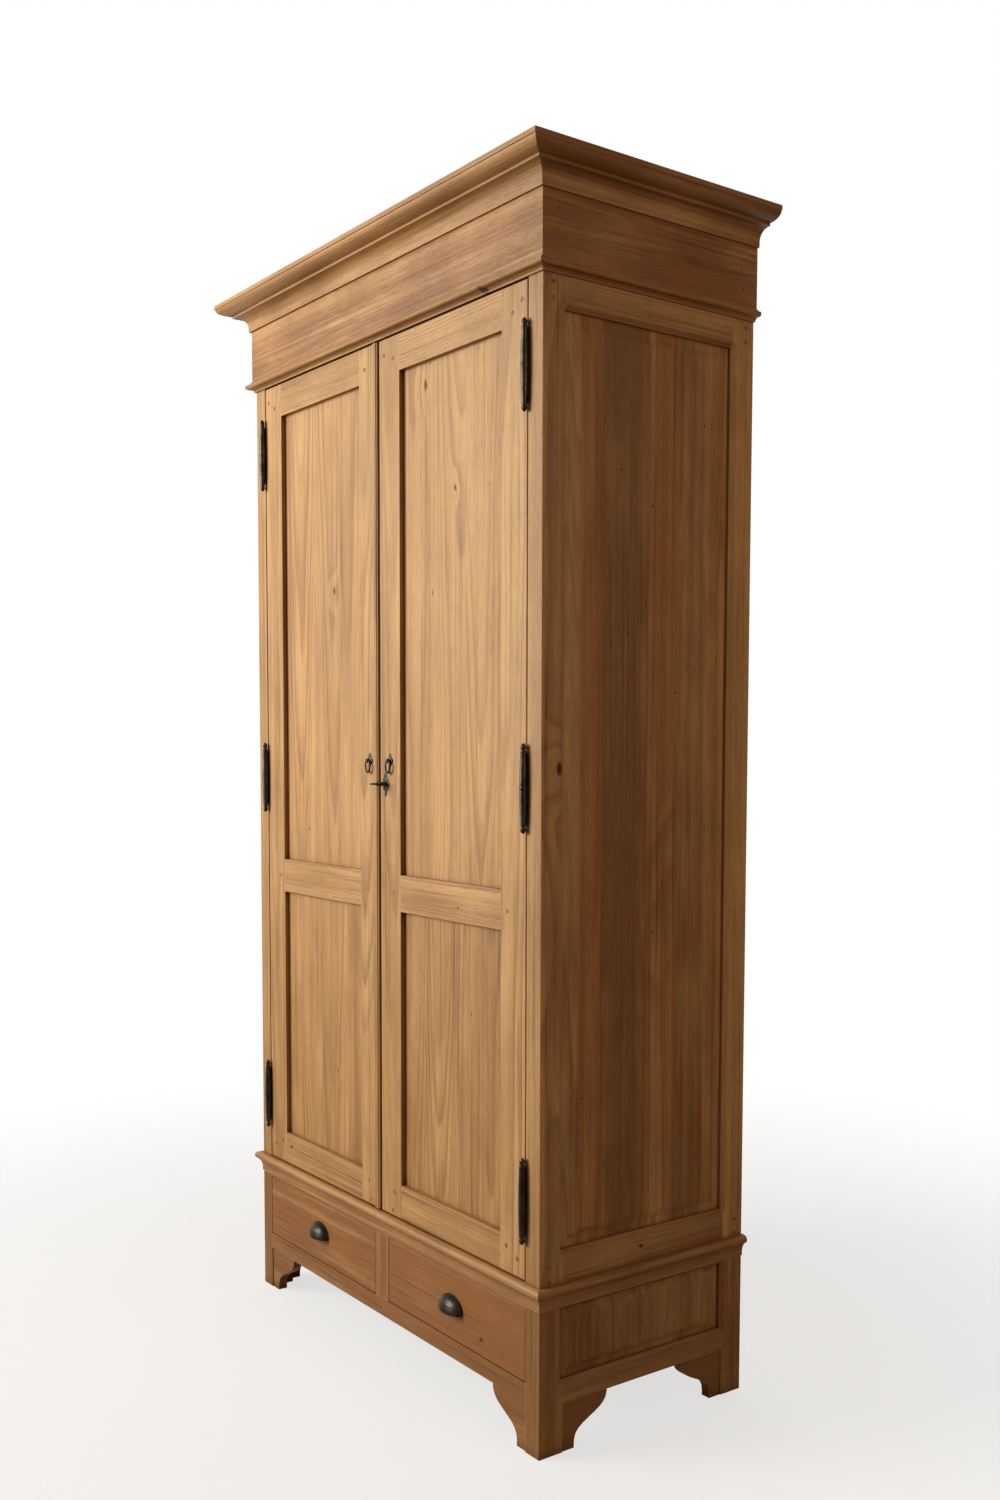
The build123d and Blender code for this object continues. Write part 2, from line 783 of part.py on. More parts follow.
def hinge_half(name, side, belongs_to):
    """Slender turned knuckles with a flat leaf: upper halves on the door, lower on the post."""
    upward = 1 if belongs_to == "door" else -1
    with BuildPart() as halves:
        for level in hinge_levels:
            with BuildPart(mode=Mode.PRIVATE) as knuckle:
                with BuildSketch(Plane.XZ) as outline:
                    with BuildLine():
                        start = hinge_split / 2
                        shoulder = hinge_half_length - knuckle_tip_length
                        neck_radius = hinge_end_radius - knuckle_neck_depth
                        neck = (neck_radius, shoulder + knuckle_neck_depth)
                        tip = (knuckle_tip_radius, hinge_half_length)
                        ThreePointArc(
                            (hinge_radius, start),
                            ((2 * hinge_radius + hinge_end_radius) / 3, shoulder / 2),
                            (hinge_end_radius, shoulder),
                        )
                        Line((hinge_end_radius, shoulder), neck)
                        ThreePointArc(
                            neck,
                            (neck_radius + knuckle_neck_depth / 2, shoulder + knuckle_tip_length / 2),
                            tip,
                        )
                        Polyline(
                            tip,
                            (0, hinge_half_length),
                            (0, start),
                            (hinge_radius, start),
                        )
                    make_face()
                revolve(outline.sketch, Axis.Z)
                if belongs_to == "door":
                    leaf_from = -door_gap / 2
                else:
                    leaf_from = door_gap / 2 - leaf_thickness
                leaf_reach = door_back - leaf_setback - hinge_y
                block(
                    (leaf_from, 0, leaf_distance),
                    (leaf_from + leaf_thickness, leaf_reach, leaf_distance + leaf_height),
                )
                if belongs_to == "door":
                    Cylinder(
                        hinge_pin_radius + hinge_running_clearance, hinge_half_length / 2,
                        align=(Align.CENTER, Align.CENTER, Align.MIN), mode=Mode.SUBTRACT,
                    )
                else:
                    mirror(about=Plane.XY, mode=Mode.REPLACE)
                    Cylinder(
                        hinge_pin_radius, hinge_half_length / 2 - leaf_distance,
                        align=(Align.CENTER, Align.CENTER, Align.MIN),
                    )
                    Cylinder(
                        hinge_pin_radius, leaf_distance,
                        align=(Align.CENTER, Align.CENTER, Align.MAX),
                    )
            with Locations((hinge_x, hinge_y, level)):
                add(knuckle.part)
        if belongs_to == "door":
            one_side(side)
        else:
            both_sides()
    keep(halves, name)


for side in ("left", "right"):
    door_stile(
        side, f"{side}_meeting_stile", door_inner, panel_left,
        panel_left - groove_depth, panel_left, 0,
    )
    door_stile(
        side, f"{side}_hinge_stile", panel_right, door_outer,
        panel_right, panel_right + groove_depth, -1,
    )
    door_rails(side)
    door_panel(side, f"{side}_upper_panel", middle_rail_top, top_rail_low)
    door_panel(side, f"{side}_lower_panel", bottom_rail_top, middle_rail_level)
    hinge_half(f"{side}_door_hinge_halves", side, "door")
hinge_half("post_hinge_halves", "both", "post")

# Reeded strip planted on the left door, flush with its meeting edge.
with BuildPart() as meeting_strip:
    with BuildSketch(Plane.XY.offset(door_low)) as strip_section:
        with BuildLine():
            strip_right = -door_inner
            strip_left = strip_right - strip_width
            bead_left = (strip_left + strip_flat_width, front - strip_flat_thickness)
            bead_right = (strip_right - strip_edge_width, front - strip_edge_thickness)
            bead_top = ((bead_left[0] + bead_right[0]) / 2, front - strip_thickness)
            Polyline(
                bead_right, (strip_right, bead_right[1]), (strip_right, front),
                (strip_left, front), (strip_left, bead_left[1]), bead_left,
            )
            ThreePointArc(bead_left, bead_top, bead_right)
        make_face()
    extrude(amount=door_high - door_low)
keep(meeting_strip, "meeting_strip")

# --- Ring pulls ---------------------------------------------------------------------------------
for side in ("left", "right"):
    with BuildPart() as rosette:
        with BuildSketch(face_plane):
            with Locations((pull_x, pull_level)):
                Circle(rosette_radius)
            with Locations((pull_x, pull_level + rosette_radius)):
                Circle(rosette_top_lobe)
            with Locations((pull_x, pull_level - rosette_radius)):
                Circle(rosette_foot_lobe)
        extrude(amount=rosette_thickness)
        post_half = ring_post_width / 2
        eye_bore = ring_wire_radius + ring_eye_clearance
        eye_radius = eye_bore + ring_eye_wall
        block(
            (pull_x - post_half, front - ring_standoff, pull_level - eye_radius),
            (pull_x + post_half, front - rosette_thickness, pull_level + eye_radius),
        )
        eye_mouth = (pull_x + post_half, front - ring_standoff, pull_level)
        round_bar(eye_mouth, eye_radius, ring_post_width, side_plane, Mode.ADD)
        round_bar(eye_mouth, eye_bore, ring_post_width, side_plane)
        one_side(side)
    keep(rosette, f"{side}_pull_rosette")

    with BuildPart() as pull_ring:
        ring_plane = Plane(
            origin=(pull_x, front - ring_standoff, pull_level - ring_half_height),
            x_dir=(1, 0, 0), z_dir=(0, -1, 0),
        )
        with BuildLine(ring_plane) as ring_path:
            EllipticalCenterArc((0, 0), ring_half_width, ring_half_height, 90, arc_size=360)
        with BuildSketch(Plane(origin=ring_path.line @ 0, z_dir=ring_path.line % 0)):
            Circle(ring_wire_radius)
        sweep(path=ring_path.line)
        one_side(side)
    keep(pull_ring, f"{side}_pull_ring")

# --- Lock, key and escutcheon of the right door -------------------------------------------------
with BuildPart() as escutcheon:
    with BuildSketch(face_plane):
        with Locations((key_x, key_level)):
            Circle(escutcheon_middle_radius)
        for up in (-1, 1):
            with Locations((key_x, key_level + up * escutcheon_lobe_rise)):
                Circle(escutcheon_lobe_radius)
            with Locations((key_x, key_level + up * escutcheon_tip_rise)):
                Circle(escutcheon_tip_radius)
    extrude(amount=escutcheon_thickness)
    with BuildSketch(face_plane.offset(escutcheon_thickness)):
        with Locations((key_x, key_level)):
            Circle(escutcheon_boss_radius)
    extrude(amount=escutcheon_boss_height)
    key_mouth = (key_x, front - escutcheon_thickness - escutcheon_boss_height, key_level)
    bore_depth = escutcheon_thickness + escutcheon_boss_height
    round_bar(key_mouth, key_bore_radius, bore_depth, face_plane)
    block(
        (key_x - key_slot_half, key_mouth[1], key_slot_low),
        (key_x + key_slot_half, front, key_level),
        Mode.SUBTRACT,
    )
keep(escutcheon, "escutcheon")

with BuildPart() as lock_case:
    case_low = (door_inner + lock_edge_distance, door_back, key_level - lock_drop)
    case_high = (case_low[0] + lock_width, door_back + lock_depth, key_level + lock_rise)
    block(case_low, case_high)
    block(
        (case_low[0] + lock_wall, door_back, case_low[2] + lock_wall),
        (case_high[0] - lock_wall, case_high[1] - lock_wall, case_high[2] - lock_wall),
        Mode.SUBTRACT,
    )
    bolt_low = (
        door_inner + lock_wall,
        door_back + lock_bolt_setback,
        key_level + key_bit_reach + 2 * key_slot_clearance,
    )
    bolt_high = (
        bolt_low[0] + lock_bolt_length,
        bolt_low[1] + lock_bolt_thickness,
        bolt_low[2] + lock_bolt_height,
    )
    block(
        (case_low[0], bolt_low[1] - lock_bolt_play, bolt_low[2] - lock_bolt_play),
        (case_low[0] + lock_wall, bolt_high[1] + lock_bolt_play, bolt_high[2] + lock_bolt_play),
        Mode.SUBTRACT,
    )
keep(lock_case, "lock_case")

with BuildPart() as lock_bolt:
    block(bolt_low, bolt_high)
keep(lock_bolt, "lock_bolt")

with BuildPart() as door_key:
    key_tip = door_back + lock_depth - lock_wall - key_tip_clearance
    stem_end = front - key_stem_stand_out
    round_bar((key_x, stem_end, key_level), key_radius, key_tip - stem_end, face_plane, Mode.ADD)
    collar_end = (key_x, front - key_collar_stand_out, key_level)
    round_bar(collar_end, key_collar_radius, key_collar_length, face_plane, Mode.ADD)
    bit_half = key_bit_height / 2
    block(
        (key_x, door_back + 2 * key_tip_clearance, key_level - bit_half),
        (key_x + key_bit_reach, key_tip, key_level + bit_half),
    )
    with BuildSketch(Plane.XY.offset(key_level - key_bow_thickness / 2)):
        with Locations((key_x, front - key_bow_stand_out)):
            Ellipse(key_bow_half_width, key_bow_half_depth)
            Ellipse(
                key_bow_half_width - key_bow_wall, key_bow_half_depth - key_bow_wall,
                mode=Mode.SUBTRACT,
            )
    extrude(amount=key_bow_thickness)
keep(door_key, "door_key")

# --- Rod bolts on the inside of the left door ---------------------------------------------------
upper_rod_top = opening_top - stop_lap - keep_thickness - rod_end_gap
lower_rod_low = floor_top + floor_stop_height + keep_thickness + rod_end_gap
for name, rod_low, rod_length, knob_rise in (
    ("upper_bolt", upper_rod_top - upper_rod_length, upper_rod_length, upper_knob_rise),
    ("lower_bolt", lower_rod_low, lower_rod_length, lower_knob_rise),
):
    with BuildPart() as rod:
        with Locations((-rod_x, rod_y, rod_low)):
            Cylinder(rod_radius, rod_length, align=(Align.CENTER, Align.CENTER, Align.MIN))
        knob_plane = Plane(
            origin=(-rod_x, rod_y, rod_low + knob_rise), x_dir=(1, 0, 0), z_dir=(0, 1, 0)
        )
        with Locations(knob_plane):
            Cylinder(
                rod_knob_stem_radius, rod_knob_stem_length,
                align=(Align.CENTER, Align.CENTER, Align.MIN),
            )
            with Locations((0, 0, rod_knob_stem_length)):
                Cylinder(
                    rod_knob_radius, rod_knob_thickness,
                    align=(Align.CENTER, Align.CENTER, Align.MIN),
                )
    keep(rod, name)

with BuildPart() as bolt_brackets:
    for bracket_low in (
        upper_rod_top - upper_rod_length + bracket_end_distance,
        upper_rod_top - bracket_end_distance - 2 * bracket_block,
        lower_rod_low + bracket_end_distance + bracket_block,
        lower_rod_low + lower_rod_length - bracket_end_distance - bracket_block,
    ):
        block(
            (-rod_x - bracket_block, door_back, bracket_low),
            (-rod_x + bracket_block, rod_y + rod_radius + bracket_wall, bracket_low + bracket_block),
        )
        with Locations((-rod_x, rod_y, bracket_low)):
            Cylinder(
                rod_radius + rod_clearance, bracket_block,
                align=(Align.CENTER, Align.CENTER, Align.MIN), mode=Mode.SUBTRACT,
            )
keep(bolt_brackets, "bolt_brackets")

# --- Drawers ------------------------------------------------------------------------------------
drawer_inner_x = divider_width / 2 + drawer_gap
drawer_outer_x = post_inner - drawer_gap
box_inner_x = drawer_inner_x + drawer_side_inset
box_outer_x = drawer_outer_x - drawer_side_inset
box_front = front + drawer_front_thickness
box_back = back_inner - drawer_back_clearance
box_low = drawer_low + runner_clearance
box_high = drawer_high - drawer_top_clearance
bottom_low = box_low + drawer_bottom_lift
cup_z = (drawer_low + drawer_high) / 2 - cup_lift

for side in ("left", "right"):
    with BuildPart() as drawer_front:
        block(
            (drawer_inner_x, front, drawer_low + drawer_gap),
            (drawer_outer_x, box_front, drawer_high - drawer_gap),
        )
        chamfer(drawer_front.faces().sort_by(Axis.Y)[0].edges(), edge_break)
        one_side(side)
    keep(drawer_front, f"{side}_drawer_front")

    with BuildPart() as drawer_box:
        inner_wall = box_inner_x + drawer_side_thickness
        outer_wall = box_outer_x - drawer_side_thickness
        bottom_top = bottom_low + drawer_bottom_thickness
        block((box_inner_x, box_front, box_low), (inner_wall, box_back, box_high))
        block((outer_wall, box_front, box_low), (box_outer_x, box_back, box_high))
        block(
            (inner_wall + board_gap, box_back - drawer_side_thickness, bottom_top + board_gap),
            (outer_wall - board_gap, box_back, box_high),
        )
        block(
            (inner_wall + board_gap, box_front + board_gap, bottom_low),
            (outer_wall - board_gap, box_back, bottom_top),
        )
        one_side(side)
    keep(drawer_box, f"{side}_drawer_box")

    with BuildPart() as cup_pull:
        with BuildPart(mode=Mode.PRIVATE) as quarter_dome:
            Sphere(1)
            Sphere(1 - cup_wall / cup_projection, mode=Mode.SUBTRACT)
            block((-1, -1, 0), (1, 0, 1), Mode.INTERSECT)
            scale(by=(cup_width / 2, cup_projection, cup_height), mode=Mode.REPLACE)
        with Locations((drawer_middle_x, front, cup_z)):
            add(quarter_dome.part)
        one_side(side)
    keep(cup_pull, f"{side}_cup_pull")
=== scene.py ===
import itertools
import math

import bmesh
import bpy
import numpy as np
from mathutils import Matrix, Vector


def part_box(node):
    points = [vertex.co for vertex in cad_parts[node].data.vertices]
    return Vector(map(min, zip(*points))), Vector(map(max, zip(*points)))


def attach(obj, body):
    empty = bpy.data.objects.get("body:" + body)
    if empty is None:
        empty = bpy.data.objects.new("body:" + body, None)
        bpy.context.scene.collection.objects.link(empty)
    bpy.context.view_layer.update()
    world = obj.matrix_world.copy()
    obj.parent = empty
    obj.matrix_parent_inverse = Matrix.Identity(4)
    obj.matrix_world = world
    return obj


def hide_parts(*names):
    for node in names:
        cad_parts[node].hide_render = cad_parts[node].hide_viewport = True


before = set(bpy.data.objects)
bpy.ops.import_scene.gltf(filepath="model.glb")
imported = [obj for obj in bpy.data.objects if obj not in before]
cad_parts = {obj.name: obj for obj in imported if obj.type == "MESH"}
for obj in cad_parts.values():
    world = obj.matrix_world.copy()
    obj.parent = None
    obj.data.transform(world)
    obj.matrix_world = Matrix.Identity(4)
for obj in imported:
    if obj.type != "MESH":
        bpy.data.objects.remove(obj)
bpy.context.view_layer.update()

# A tall two-door armoire of oiled hardwood with a pair of drawers in its base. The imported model
# holds every board at its true place. This script gives each board its own timber, replaces the iron
# fittings with turned and cast ones, and drives the pegs and nails. Metres, +Z up.


# --- Corner posts ---------------------------------------------------------------------------------
# Four square posts, each in two lengths that meet behind the waist moulding. They are plain-sawn
# hardwood, planed by hand, oiled and then waxed, so the sharp edges have worn a little paler.
def add(tree, kind, sockets=None, **settings):
    """A new shader node with its settings made and its sockets filled by values or by links."""
    node = tree.nodes.new("ShaderNode" + kind)
    for name, value in settings.items():
        setattr(node, name, value)
    for key, value in (sockets or {}).items():
        if isinstance(value, bpy.types.NodeSocket):
            tree.links.new(value, node.inputs[key])
        else:
            node.inputs[key].default_value = value
    return node


def maths(tree, operation, a, b=0.0):
    """One arithmetic step on two numbers."""
    return add(tree, "Math", {0: a, 1: b}, operation=operation).outputs[0]


def ease(tree, value, start, end):
    """A smooth step that is 0 at start and 1 at end, whichever of the two is larger."""
    sockets = {0: value, 1: start, 2: end, 3: 0.0, 4: 1.0}
    return add(tree, "MapRange", sockets, interpolation_type="SMOOTHSTEP").outputs[0]


def between(tree, value, low, high):
    """Carries 0 to low and 1 to high in a straight line."""
    return add(tree, "MapRange", {0: value, 1: 0.0, 2: 1.0, 3: low, 4: high}).outputs[0]


def tint(tree, share, first, second, kind="MIX"):
    """The first colour turned towards the second by a share from 0 to 1."""
    sockets = {0: share, 6: first, 7: second}
    return add(tree, "Mix", sockets, data_type="RGBA", blend_type=kind).outputs[2]


def new_material(name):
    """A plain material, with its node tree and its shader."""
    material = bpy.data.materials.new(name)
    material.use_nodes = True
    return material, material.node_tree, material.node_tree.nodes["Principled BSDF"]


def object_place(tree):
    """The place on the object, in metres."""
    return add(tree, "TexCoord").outputs["Object"]


def flatness(tree, radius):
    """1 on a flat face, and less where an edge lies within the radius: rounded . true normal."""
    rounded = add(tree, "Bevel", {"Radius": radius}, samples=4).outputs[0]
    face = add(tree, "NewGeometry").outputs["Normal"]
    dotted = add(tree, "VectorMath", {0: rounded, 1: face}, operation="DOT_PRODUCT")
    return dotted.outputs["Value"]


def dress(node, material):
    """Give a CAD node's own mesh a material."""
    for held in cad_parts[node].material_slots:
        held.material = material


def noise(tree, place, scales, detail=2.0, roughness=0.5):
    """Cloud noise whose cells are stretched by one scale along each axis."""
    stretched = add(tree, "VectorMath", {0: place, 1: scales}, operation="MULTIPLY").outputs[0]
    sockets = {"Vector": stretched, "Scale": 1.0, "Detail": detail, "Roughness": roughness}
    return add(tree, "TexNoise", sockets)


cells_across, cells_along = 6.0, 3.4
cells_without_knot = 0.82
years_per_metre = 210.0
darkest_season = 0.86
pith_behind, grain_bend, ring_push = 0.035, 0.032, 0.006


def timber_figure():
    """Grain of one board, from its place (across, through, along) and a seed of its own.

    Year rings are circles round a pith that lies behind the board and runs slightly askew to it, so
    the same formula gives straight stripes at the edges and pointed arches in the middle. Knots are
    sparse points that push the rings aside. Fibres and pores are noise stretched along the board.
    """
    group = bpy.data.node_groups.new("timber figure", "ShaderNodeTree")
    sockets = group.interface
    sockets.new_socket("Place", in_out="INPUT", socket_type="NodeSocketVector")
    sockets.new_socket("Seed", in_out="INPUT", socket_type="NodeSocketFloat")
    results = ("Streak", "Cloud", "Ring", "Fibre", "Pore", "Knot", "Thread")
    for name in results:
        sockets.new_socket(name, in_out="OUTPUT", socket_type="NodeSocketFloat")
    entry = group.nodes.new("NodeGroupInput")
    place, seed = entry.outputs[0], entry.outputs[1]

    far_apart = {0: (17.0, 9.0, 5.0), "Scale": seed}
    shift = add(group, "VectorMath", far_apart, operation="SCALE").outputs[0]
    own = add(group, "VectorMath", {0: place, 1: shift}, operation="ADD").outputs[0]

    spot = add(group, "SeparateXYZ", {0: own})
    plan = add(group, "CombineXYZ", {0: maths(group, "MULTIPLY", spot.outputs[0], cells_across),
                                     1: maths(group, "MULTIPLY", spot.outputs[2], cells_along)})
    sockets = {"Vector": plan.outputs[0], "Scale": 1.0}
    cells = add(group, "TexVoronoi", sockets, voronoi_dimensions="2D")
    lottery = add(group, "SeparateColor", {0: cells.outputs["Color"]}).outputs
    chosen = maths(group, "GREATER_THAN", lottery[0], cells_without_knot)
    knot_size = between(group, maths(group, "POWER", lottery[1], 3.0), 0.30, 1.30)
    ragged = noise(group, own, (90.0, 90.0, 60.0), detail=2.0).outputs["Fac"]
    knot_distance = maths(group, "DIVIDE", cells.outputs["Distance"], knot_size)
    knot_distance = maths(group, "ADD", knot_distance, between(group, ragged, -0.025, 0.025))
    knot = maths(group, "MULTIPLY", ease(group, knot_distance, 0.045, 0.015), chosen)
    swelling = maths(group, "MULTIPLY", ease(group, knot_distance, 0.30, 0.0), chosen)

    drift = noise(group, own, (4.5, 4.5, 0.8)).outputs["Color"]
    sockets = {0: drift, 1: (0.5, 0.5, 0.5)}
    centred = add(group, "VectorMath", sockets, operation="SUBTRACT").outputs[0]
    sockets = {0: centred, 1: (grain_bend, grain_bend, 0.0)}
    bend = add(group, "VectorMath", sockets, operation="MULTIPLY").outputs[0]
    bent = add(group, "SeparateXYZ", {0: add(group, "VectorMath", {0: place, 1: bend}).outputs[0]})
    across = maths(group, "ADD", bent.outputs[0], between(group, seed, -0.035, 0.035))
    other_seed = maths(group, "FRACT", maths(group, "MULTIPLY", seed, 7.3))
    lean = maths(group, "MULTIPLY", bent.outputs[2], between(group, other_seed, 0.004, 0.022))
    depth = maths(group, "ADD", bent.outputs[1], maths(group, "ADD", lean, pith_behind))
    radius = maths(group, "SQRT", maths(group, "ADD", maths(group, "MULTIPLY", across, across),
                                        maths(group, "MULTIPLY", depth, depth)))
    pushed = maths(group, "MULTIPLY", maths(group, "MULTIPLY", swelling, knot_size), ring_push)
    radius = maths(group, "ADD", radius, pushed)
    year_place = add(group, "CombineXYZ", {0: radius, 1: seed}).outputs[0]
    good_year = noise(group, year_place, (45.0, 31.0, 1.0), detail=1.0).outputs["Fac"]
    wander = noise(group, own, (26.0, 26.0, 0.9), detail=3.0).outputs["Fac"]
    years = maths(group, "ADD", maths(group, "MULTIPLY", radius, years_per_metre),
                  maths(group, "ADD", maths(group, "MULTIPLY", good_year, 3.0),
                        maths(group, "MULTIPLY", wander, 0.9)))
    year = maths(group, "FRACT", years)
    late_wood = maths(group, "MULTIPLY", ease(group, year, 0.25, darkest_season),
                      ease(group, year, 1.0, darkest_season))
    strength = noise(group, year_place, (70.0, 57.0, 1.0), detail=0.0).outputs["Fac"]
    ring = maths(group, "MULTIPLY", late_wood, ease(group, strength, 0.30, 0.72))

    streak = noise(group, own, (38.0, 38.0, 0.45), detail=4.0, roughness=0.6).outputs["Fac"]
    cloud = noise(group, own, (8.0, 8.0, 3.6), detail=4.0, roughness=0.6).outputs["Fac"]
    fibre = noise(group, own, (330.0, 330.0, 9.0), detail=3.0, roughness=0.65).outputs["Fac"]
    pore = noise(group, own, (1100.0, 1100.0, 40.0), detail=1.0).outputs["Fac"]
    thread = noise(group, own, (150.0, 150.0, 1.6), detail=3.0, roughness=0.6).outputs["Fac"]
    values = (streak, cloud, ring, fibre, ease(group, pore, 0.58, 0.70), knot,
              ease(group, thread, 0.52, 0.70))
    leave = group.nodes.new("NodeGroupOutput")
    for index, value in enumerate(values):
        group.links.new(value, leave.inputs[index])
    return group


figure = timber_figure()
board_numbers = itertools.count(1)
golden_share = 0.618034
axis_number = {"X": 0, "Y": 1, "Z": 2}
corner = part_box("base_posts")[1].x
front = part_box("base_posts")[0].y
pale_wood = (0.610, 0.348, 0.142, 1.0)
deep_wood = (0.262, 0.120, 0.037, 1.0)
red_wood = (0.360, 0.125, 0.030, 1.0)
late_colour = (0.235, 0.095, 0.028, 1.0)
knot_wood = (0.055, 0.024, 0.011, 1.0)
# Colour multiplied into corners and recesses: old wax together with painted shade.
wax_and_shade_tone = (0.30, 0.19, 0.12, 1.0)
# How much deeper the side faces of mitred runs are painted: painted shade.
painted_side_shade = 0.35
# The second reach is how far ambient occlusion looks for corners to darken with old wax and painted
# shade.
edge_reach, wax_and_shade_reach, relief_height = 0.004, 0.040, 0.0006


def wood(node, grain, across, joints=(), tones=(0.4,), reds=(0.0,), mitred=False, wear=0.35,
         streaks=1.4, clouds=1.4):
    """Give a CAD node oiled wood whose boards run along grain and lie side by side along across.

    joints are the boards' meeting lines as places along across, and tones and reds say how deep and
    how red each board is. A mitred run turns the grain at the front corners of the armoire, and its
    side faces are painted a deeper tone as shade. streaks and clouds say how strongly the tone
    changes along the grain and from patch to patch.
    """
    low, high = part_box(node)
    side_by_side = axis_number[across]
    start, end = low[side_by_side], high[side_by_side]
    material, tree, shader = new_material(node + " oiled wood")
    xyz = add(tree, "SeparateXYZ", {0: object_place(tree)}).outputs
    on_right = maths(tree, "GREATER_THAN", xyz[0], 0.0)

    # Red, green, blue and alpha of each stop carry a board's tone, middle, seed and redness.
    from_start = maths(tree, "SUBTRACT", xyz[side_by_side], start)
    ramp = add(tree, "ValToRGB", {0: maths(tree, "DIVIDE", from_start, end - start)})
    stops = ramp.color_ramp
    stops.interpolation = "CONSTANT"
    edges = [0.0] + [(joint - start) / (end - start) for joint in joints] + [1.0]
    stops.elements.remove(stops.elements[1])
    for index in range(len(edges) - 1):
        stop = stops.elements[0] if index == 0 else stops.elements.new(edges[index])
        middle = (edges[index] + edges[index + 1]) / 2
        seed = next(board_numbers) * golden_share % 1.0
        stop.color = (tones[index % len(tones)], middle, seed, reds[index % len(reds)])
    board = add(tree, "SeparateColor", {0: ramp.outputs["Color"]}).outputs
    board_tone = board[0]
    centre = between(tree, board[1], start, end)
    other_side = maths(tree, "MULTIPLY", on_right, 0.377)
    seed = maths(tree, "FRACT", maths(tree, "ADD", board[2], other_side))
    from_centre = maths(tree, "SUBTRACT", xyz[side_by_side], centre)

    # Each board has its own grain, and a mitred run has another along the sides, whose faces are
    # painted a deeper tone as shade.
    if mitred:
        out_of_side = maths(tree, "SUBTRACT", maths(tree, "ABSOLUTE", xyz[0]), corner)
        out_of_front = maths(tree, "SUBTRACT", front, xyz[1])
        on_side = maths(tree, "GREATER_THAN", out_of_side, out_of_front)
        along_front = add(tree, "CombineXYZ", {0: from_centre, 1: out_of_front, 2: xyz[0]})
        along_side = add(tree, "CombineXYZ", {0: from_centre, 1: out_of_side, 2: xyz[1]})
        sockets = {0: on_side, 4: along_front.outputs[0], 5: along_side.outputs[0]}
        board_place = add(tree, "Mix", sockets, data_type="VECTOR").outputs[1]
        side_seed = maths(tree, "ADD", maths(tree, "MULTIPLY", on_side, on_right), 0.3)
        new_seed = maths(tree, "ADD", board[2], maths(tree, "MULTIPLY", on_side, side_seed))
        seed = maths(tree, "FRACT", new_seed)
        # Painted shade: the side faces get a deeper tone.
        board_tone = maths(tree, "ADD", board_tone, maths(tree, "MULTIPLY", on_side, painted_side_shade))
    else:
        through = ({0, 1, 2} - {axis_number[grain], side_by_side}).pop()
        sockets = {0: from_centre, 1: xyz[through], 2: xyz[axis_number[grain]]}
        board_place = add(tree, "CombineXYZ", sockets).outputs[0]

    timber = add(tree, "Group", node_tree=figure)
    tree.links.new(board_place, timber.inputs[0])
    tree.links.new(seed, timber.inputs[1])
    streak, cloud, ring, fibre, pore, knot, thread = timber.outputs

    # Colour, from pale to deep, then heartwood, year rings, fibres and knots over it.
    depth = maths(tree, "ADD", maths(tree, "MULTIPLY", between(tree, streak, -0.5, 0.5), streaks),
                  maths(tree, "MULTIPLY", between(tree, cloud, -0.5, 0.5), clouds))
    depth = add(tree, "Math", {0: depth, 1: board_tone}, operation="ADD", use_clamp=True).outputs[0]
    colour = tint(tree, depth, pale_wood, deep_wood)
    redness = maths(tree, "MULTIPLY", ramp.outputs["Alpha"], ease(tree, streak, 0.25, 0.60))
    colour = tint(tree, redness, colour, red_wood)
    colour = tint(tree, maths(tree, "MULTIPLY", ring, 0.50), colour, late_colour)
    shade = between(tree, fibre, 0.72, 1.28)
    shade = maths(tree, "MULTIPLY", shade, between(tree, thread, 1.05, 0.70))
    shade = maths(tree, "MULTIPLY", shade, between(tree, pore, 1.0, 0.78))
    colour = add(tree, "VectorMath", {0: colour, "Scale": shade}, operation="SCALE").outputs[0]
    colour = tint(tree, knot, colour, knot_wood)

    # Edges worn pale where hands reach them, and corners and recesses darkened by ambient occlusion:
    # old wax together with painted shade.
    on_edge = ease(tree, flatness(tree, edge_reach), 0.995, 0.85)
    on_edge = maths(tree, "MULTIPLY", on_edge, between(tree, cloud, 0.3, 1.5))
    # Painted shade with old wax: the colour is darkened wherever ambient occlusion finds nearby
    # surfaces.
    sheltered = add(tree, "AmbientOcclusion", {"Distance": wax_and_shade_reach}, samples=4).outputs["AO"]
    open_air = ease(tree, sheltered, 0.30, 0.85)
    worn = maths(tree, "MULTIPLY", maths(tree, "MULTIPLY", on_edge, open_air), wear)
    colour = tint(tree, worn, colour, pale_wood)
    wax_shaded = tint(tree, 1.0, colour, wax_and_shade_tone, kind="MULTIPLY")
    wax_and_painted_shade = maths(tree, "MULTIPLY", maths(tree, "SUBTRACT", 1.0, open_air), 0.85)
    colour = tint(tree, wax_and_painted_shade, colour, wax_shaded)
    tree.links.new(colour, shader.inputs["Base Color"])

    # Duller along the fibres and in the wax, with a low relief of fibres, rings, pores and planing.
    dulled = maths(tree, "MULTIPLY", wax_and_painted_shade, 0.15)
    roughness = maths(tree, "ADD", between(tree, fibre, 0.44, 0.66), dulled)
    tree.links.new(roughness, shader.inputs["Roughness"])
    relief = between(tree, fibre, 0.0, 0.7)
    relief = maths(tree, "SUBTRACT", relief, maths(tree, "MULTIPLY", ring, 0.5))
    relief = maths(tree, "SUBTRACT", relief, maths(tree, "MULTIPLY", pore, 0.6))
    relief = maths(tree, "ADD", relief, maths(tree, "MULTIPLY", cloud, 1.5))
    bump = add(tree, "Bump", {"Height": relief, "Distance": relief_height, "Strength": 0.45})
    tree.links.new(bump.outputs[0], shader.inputs["Normal"])
    dress(node, material)
    return material


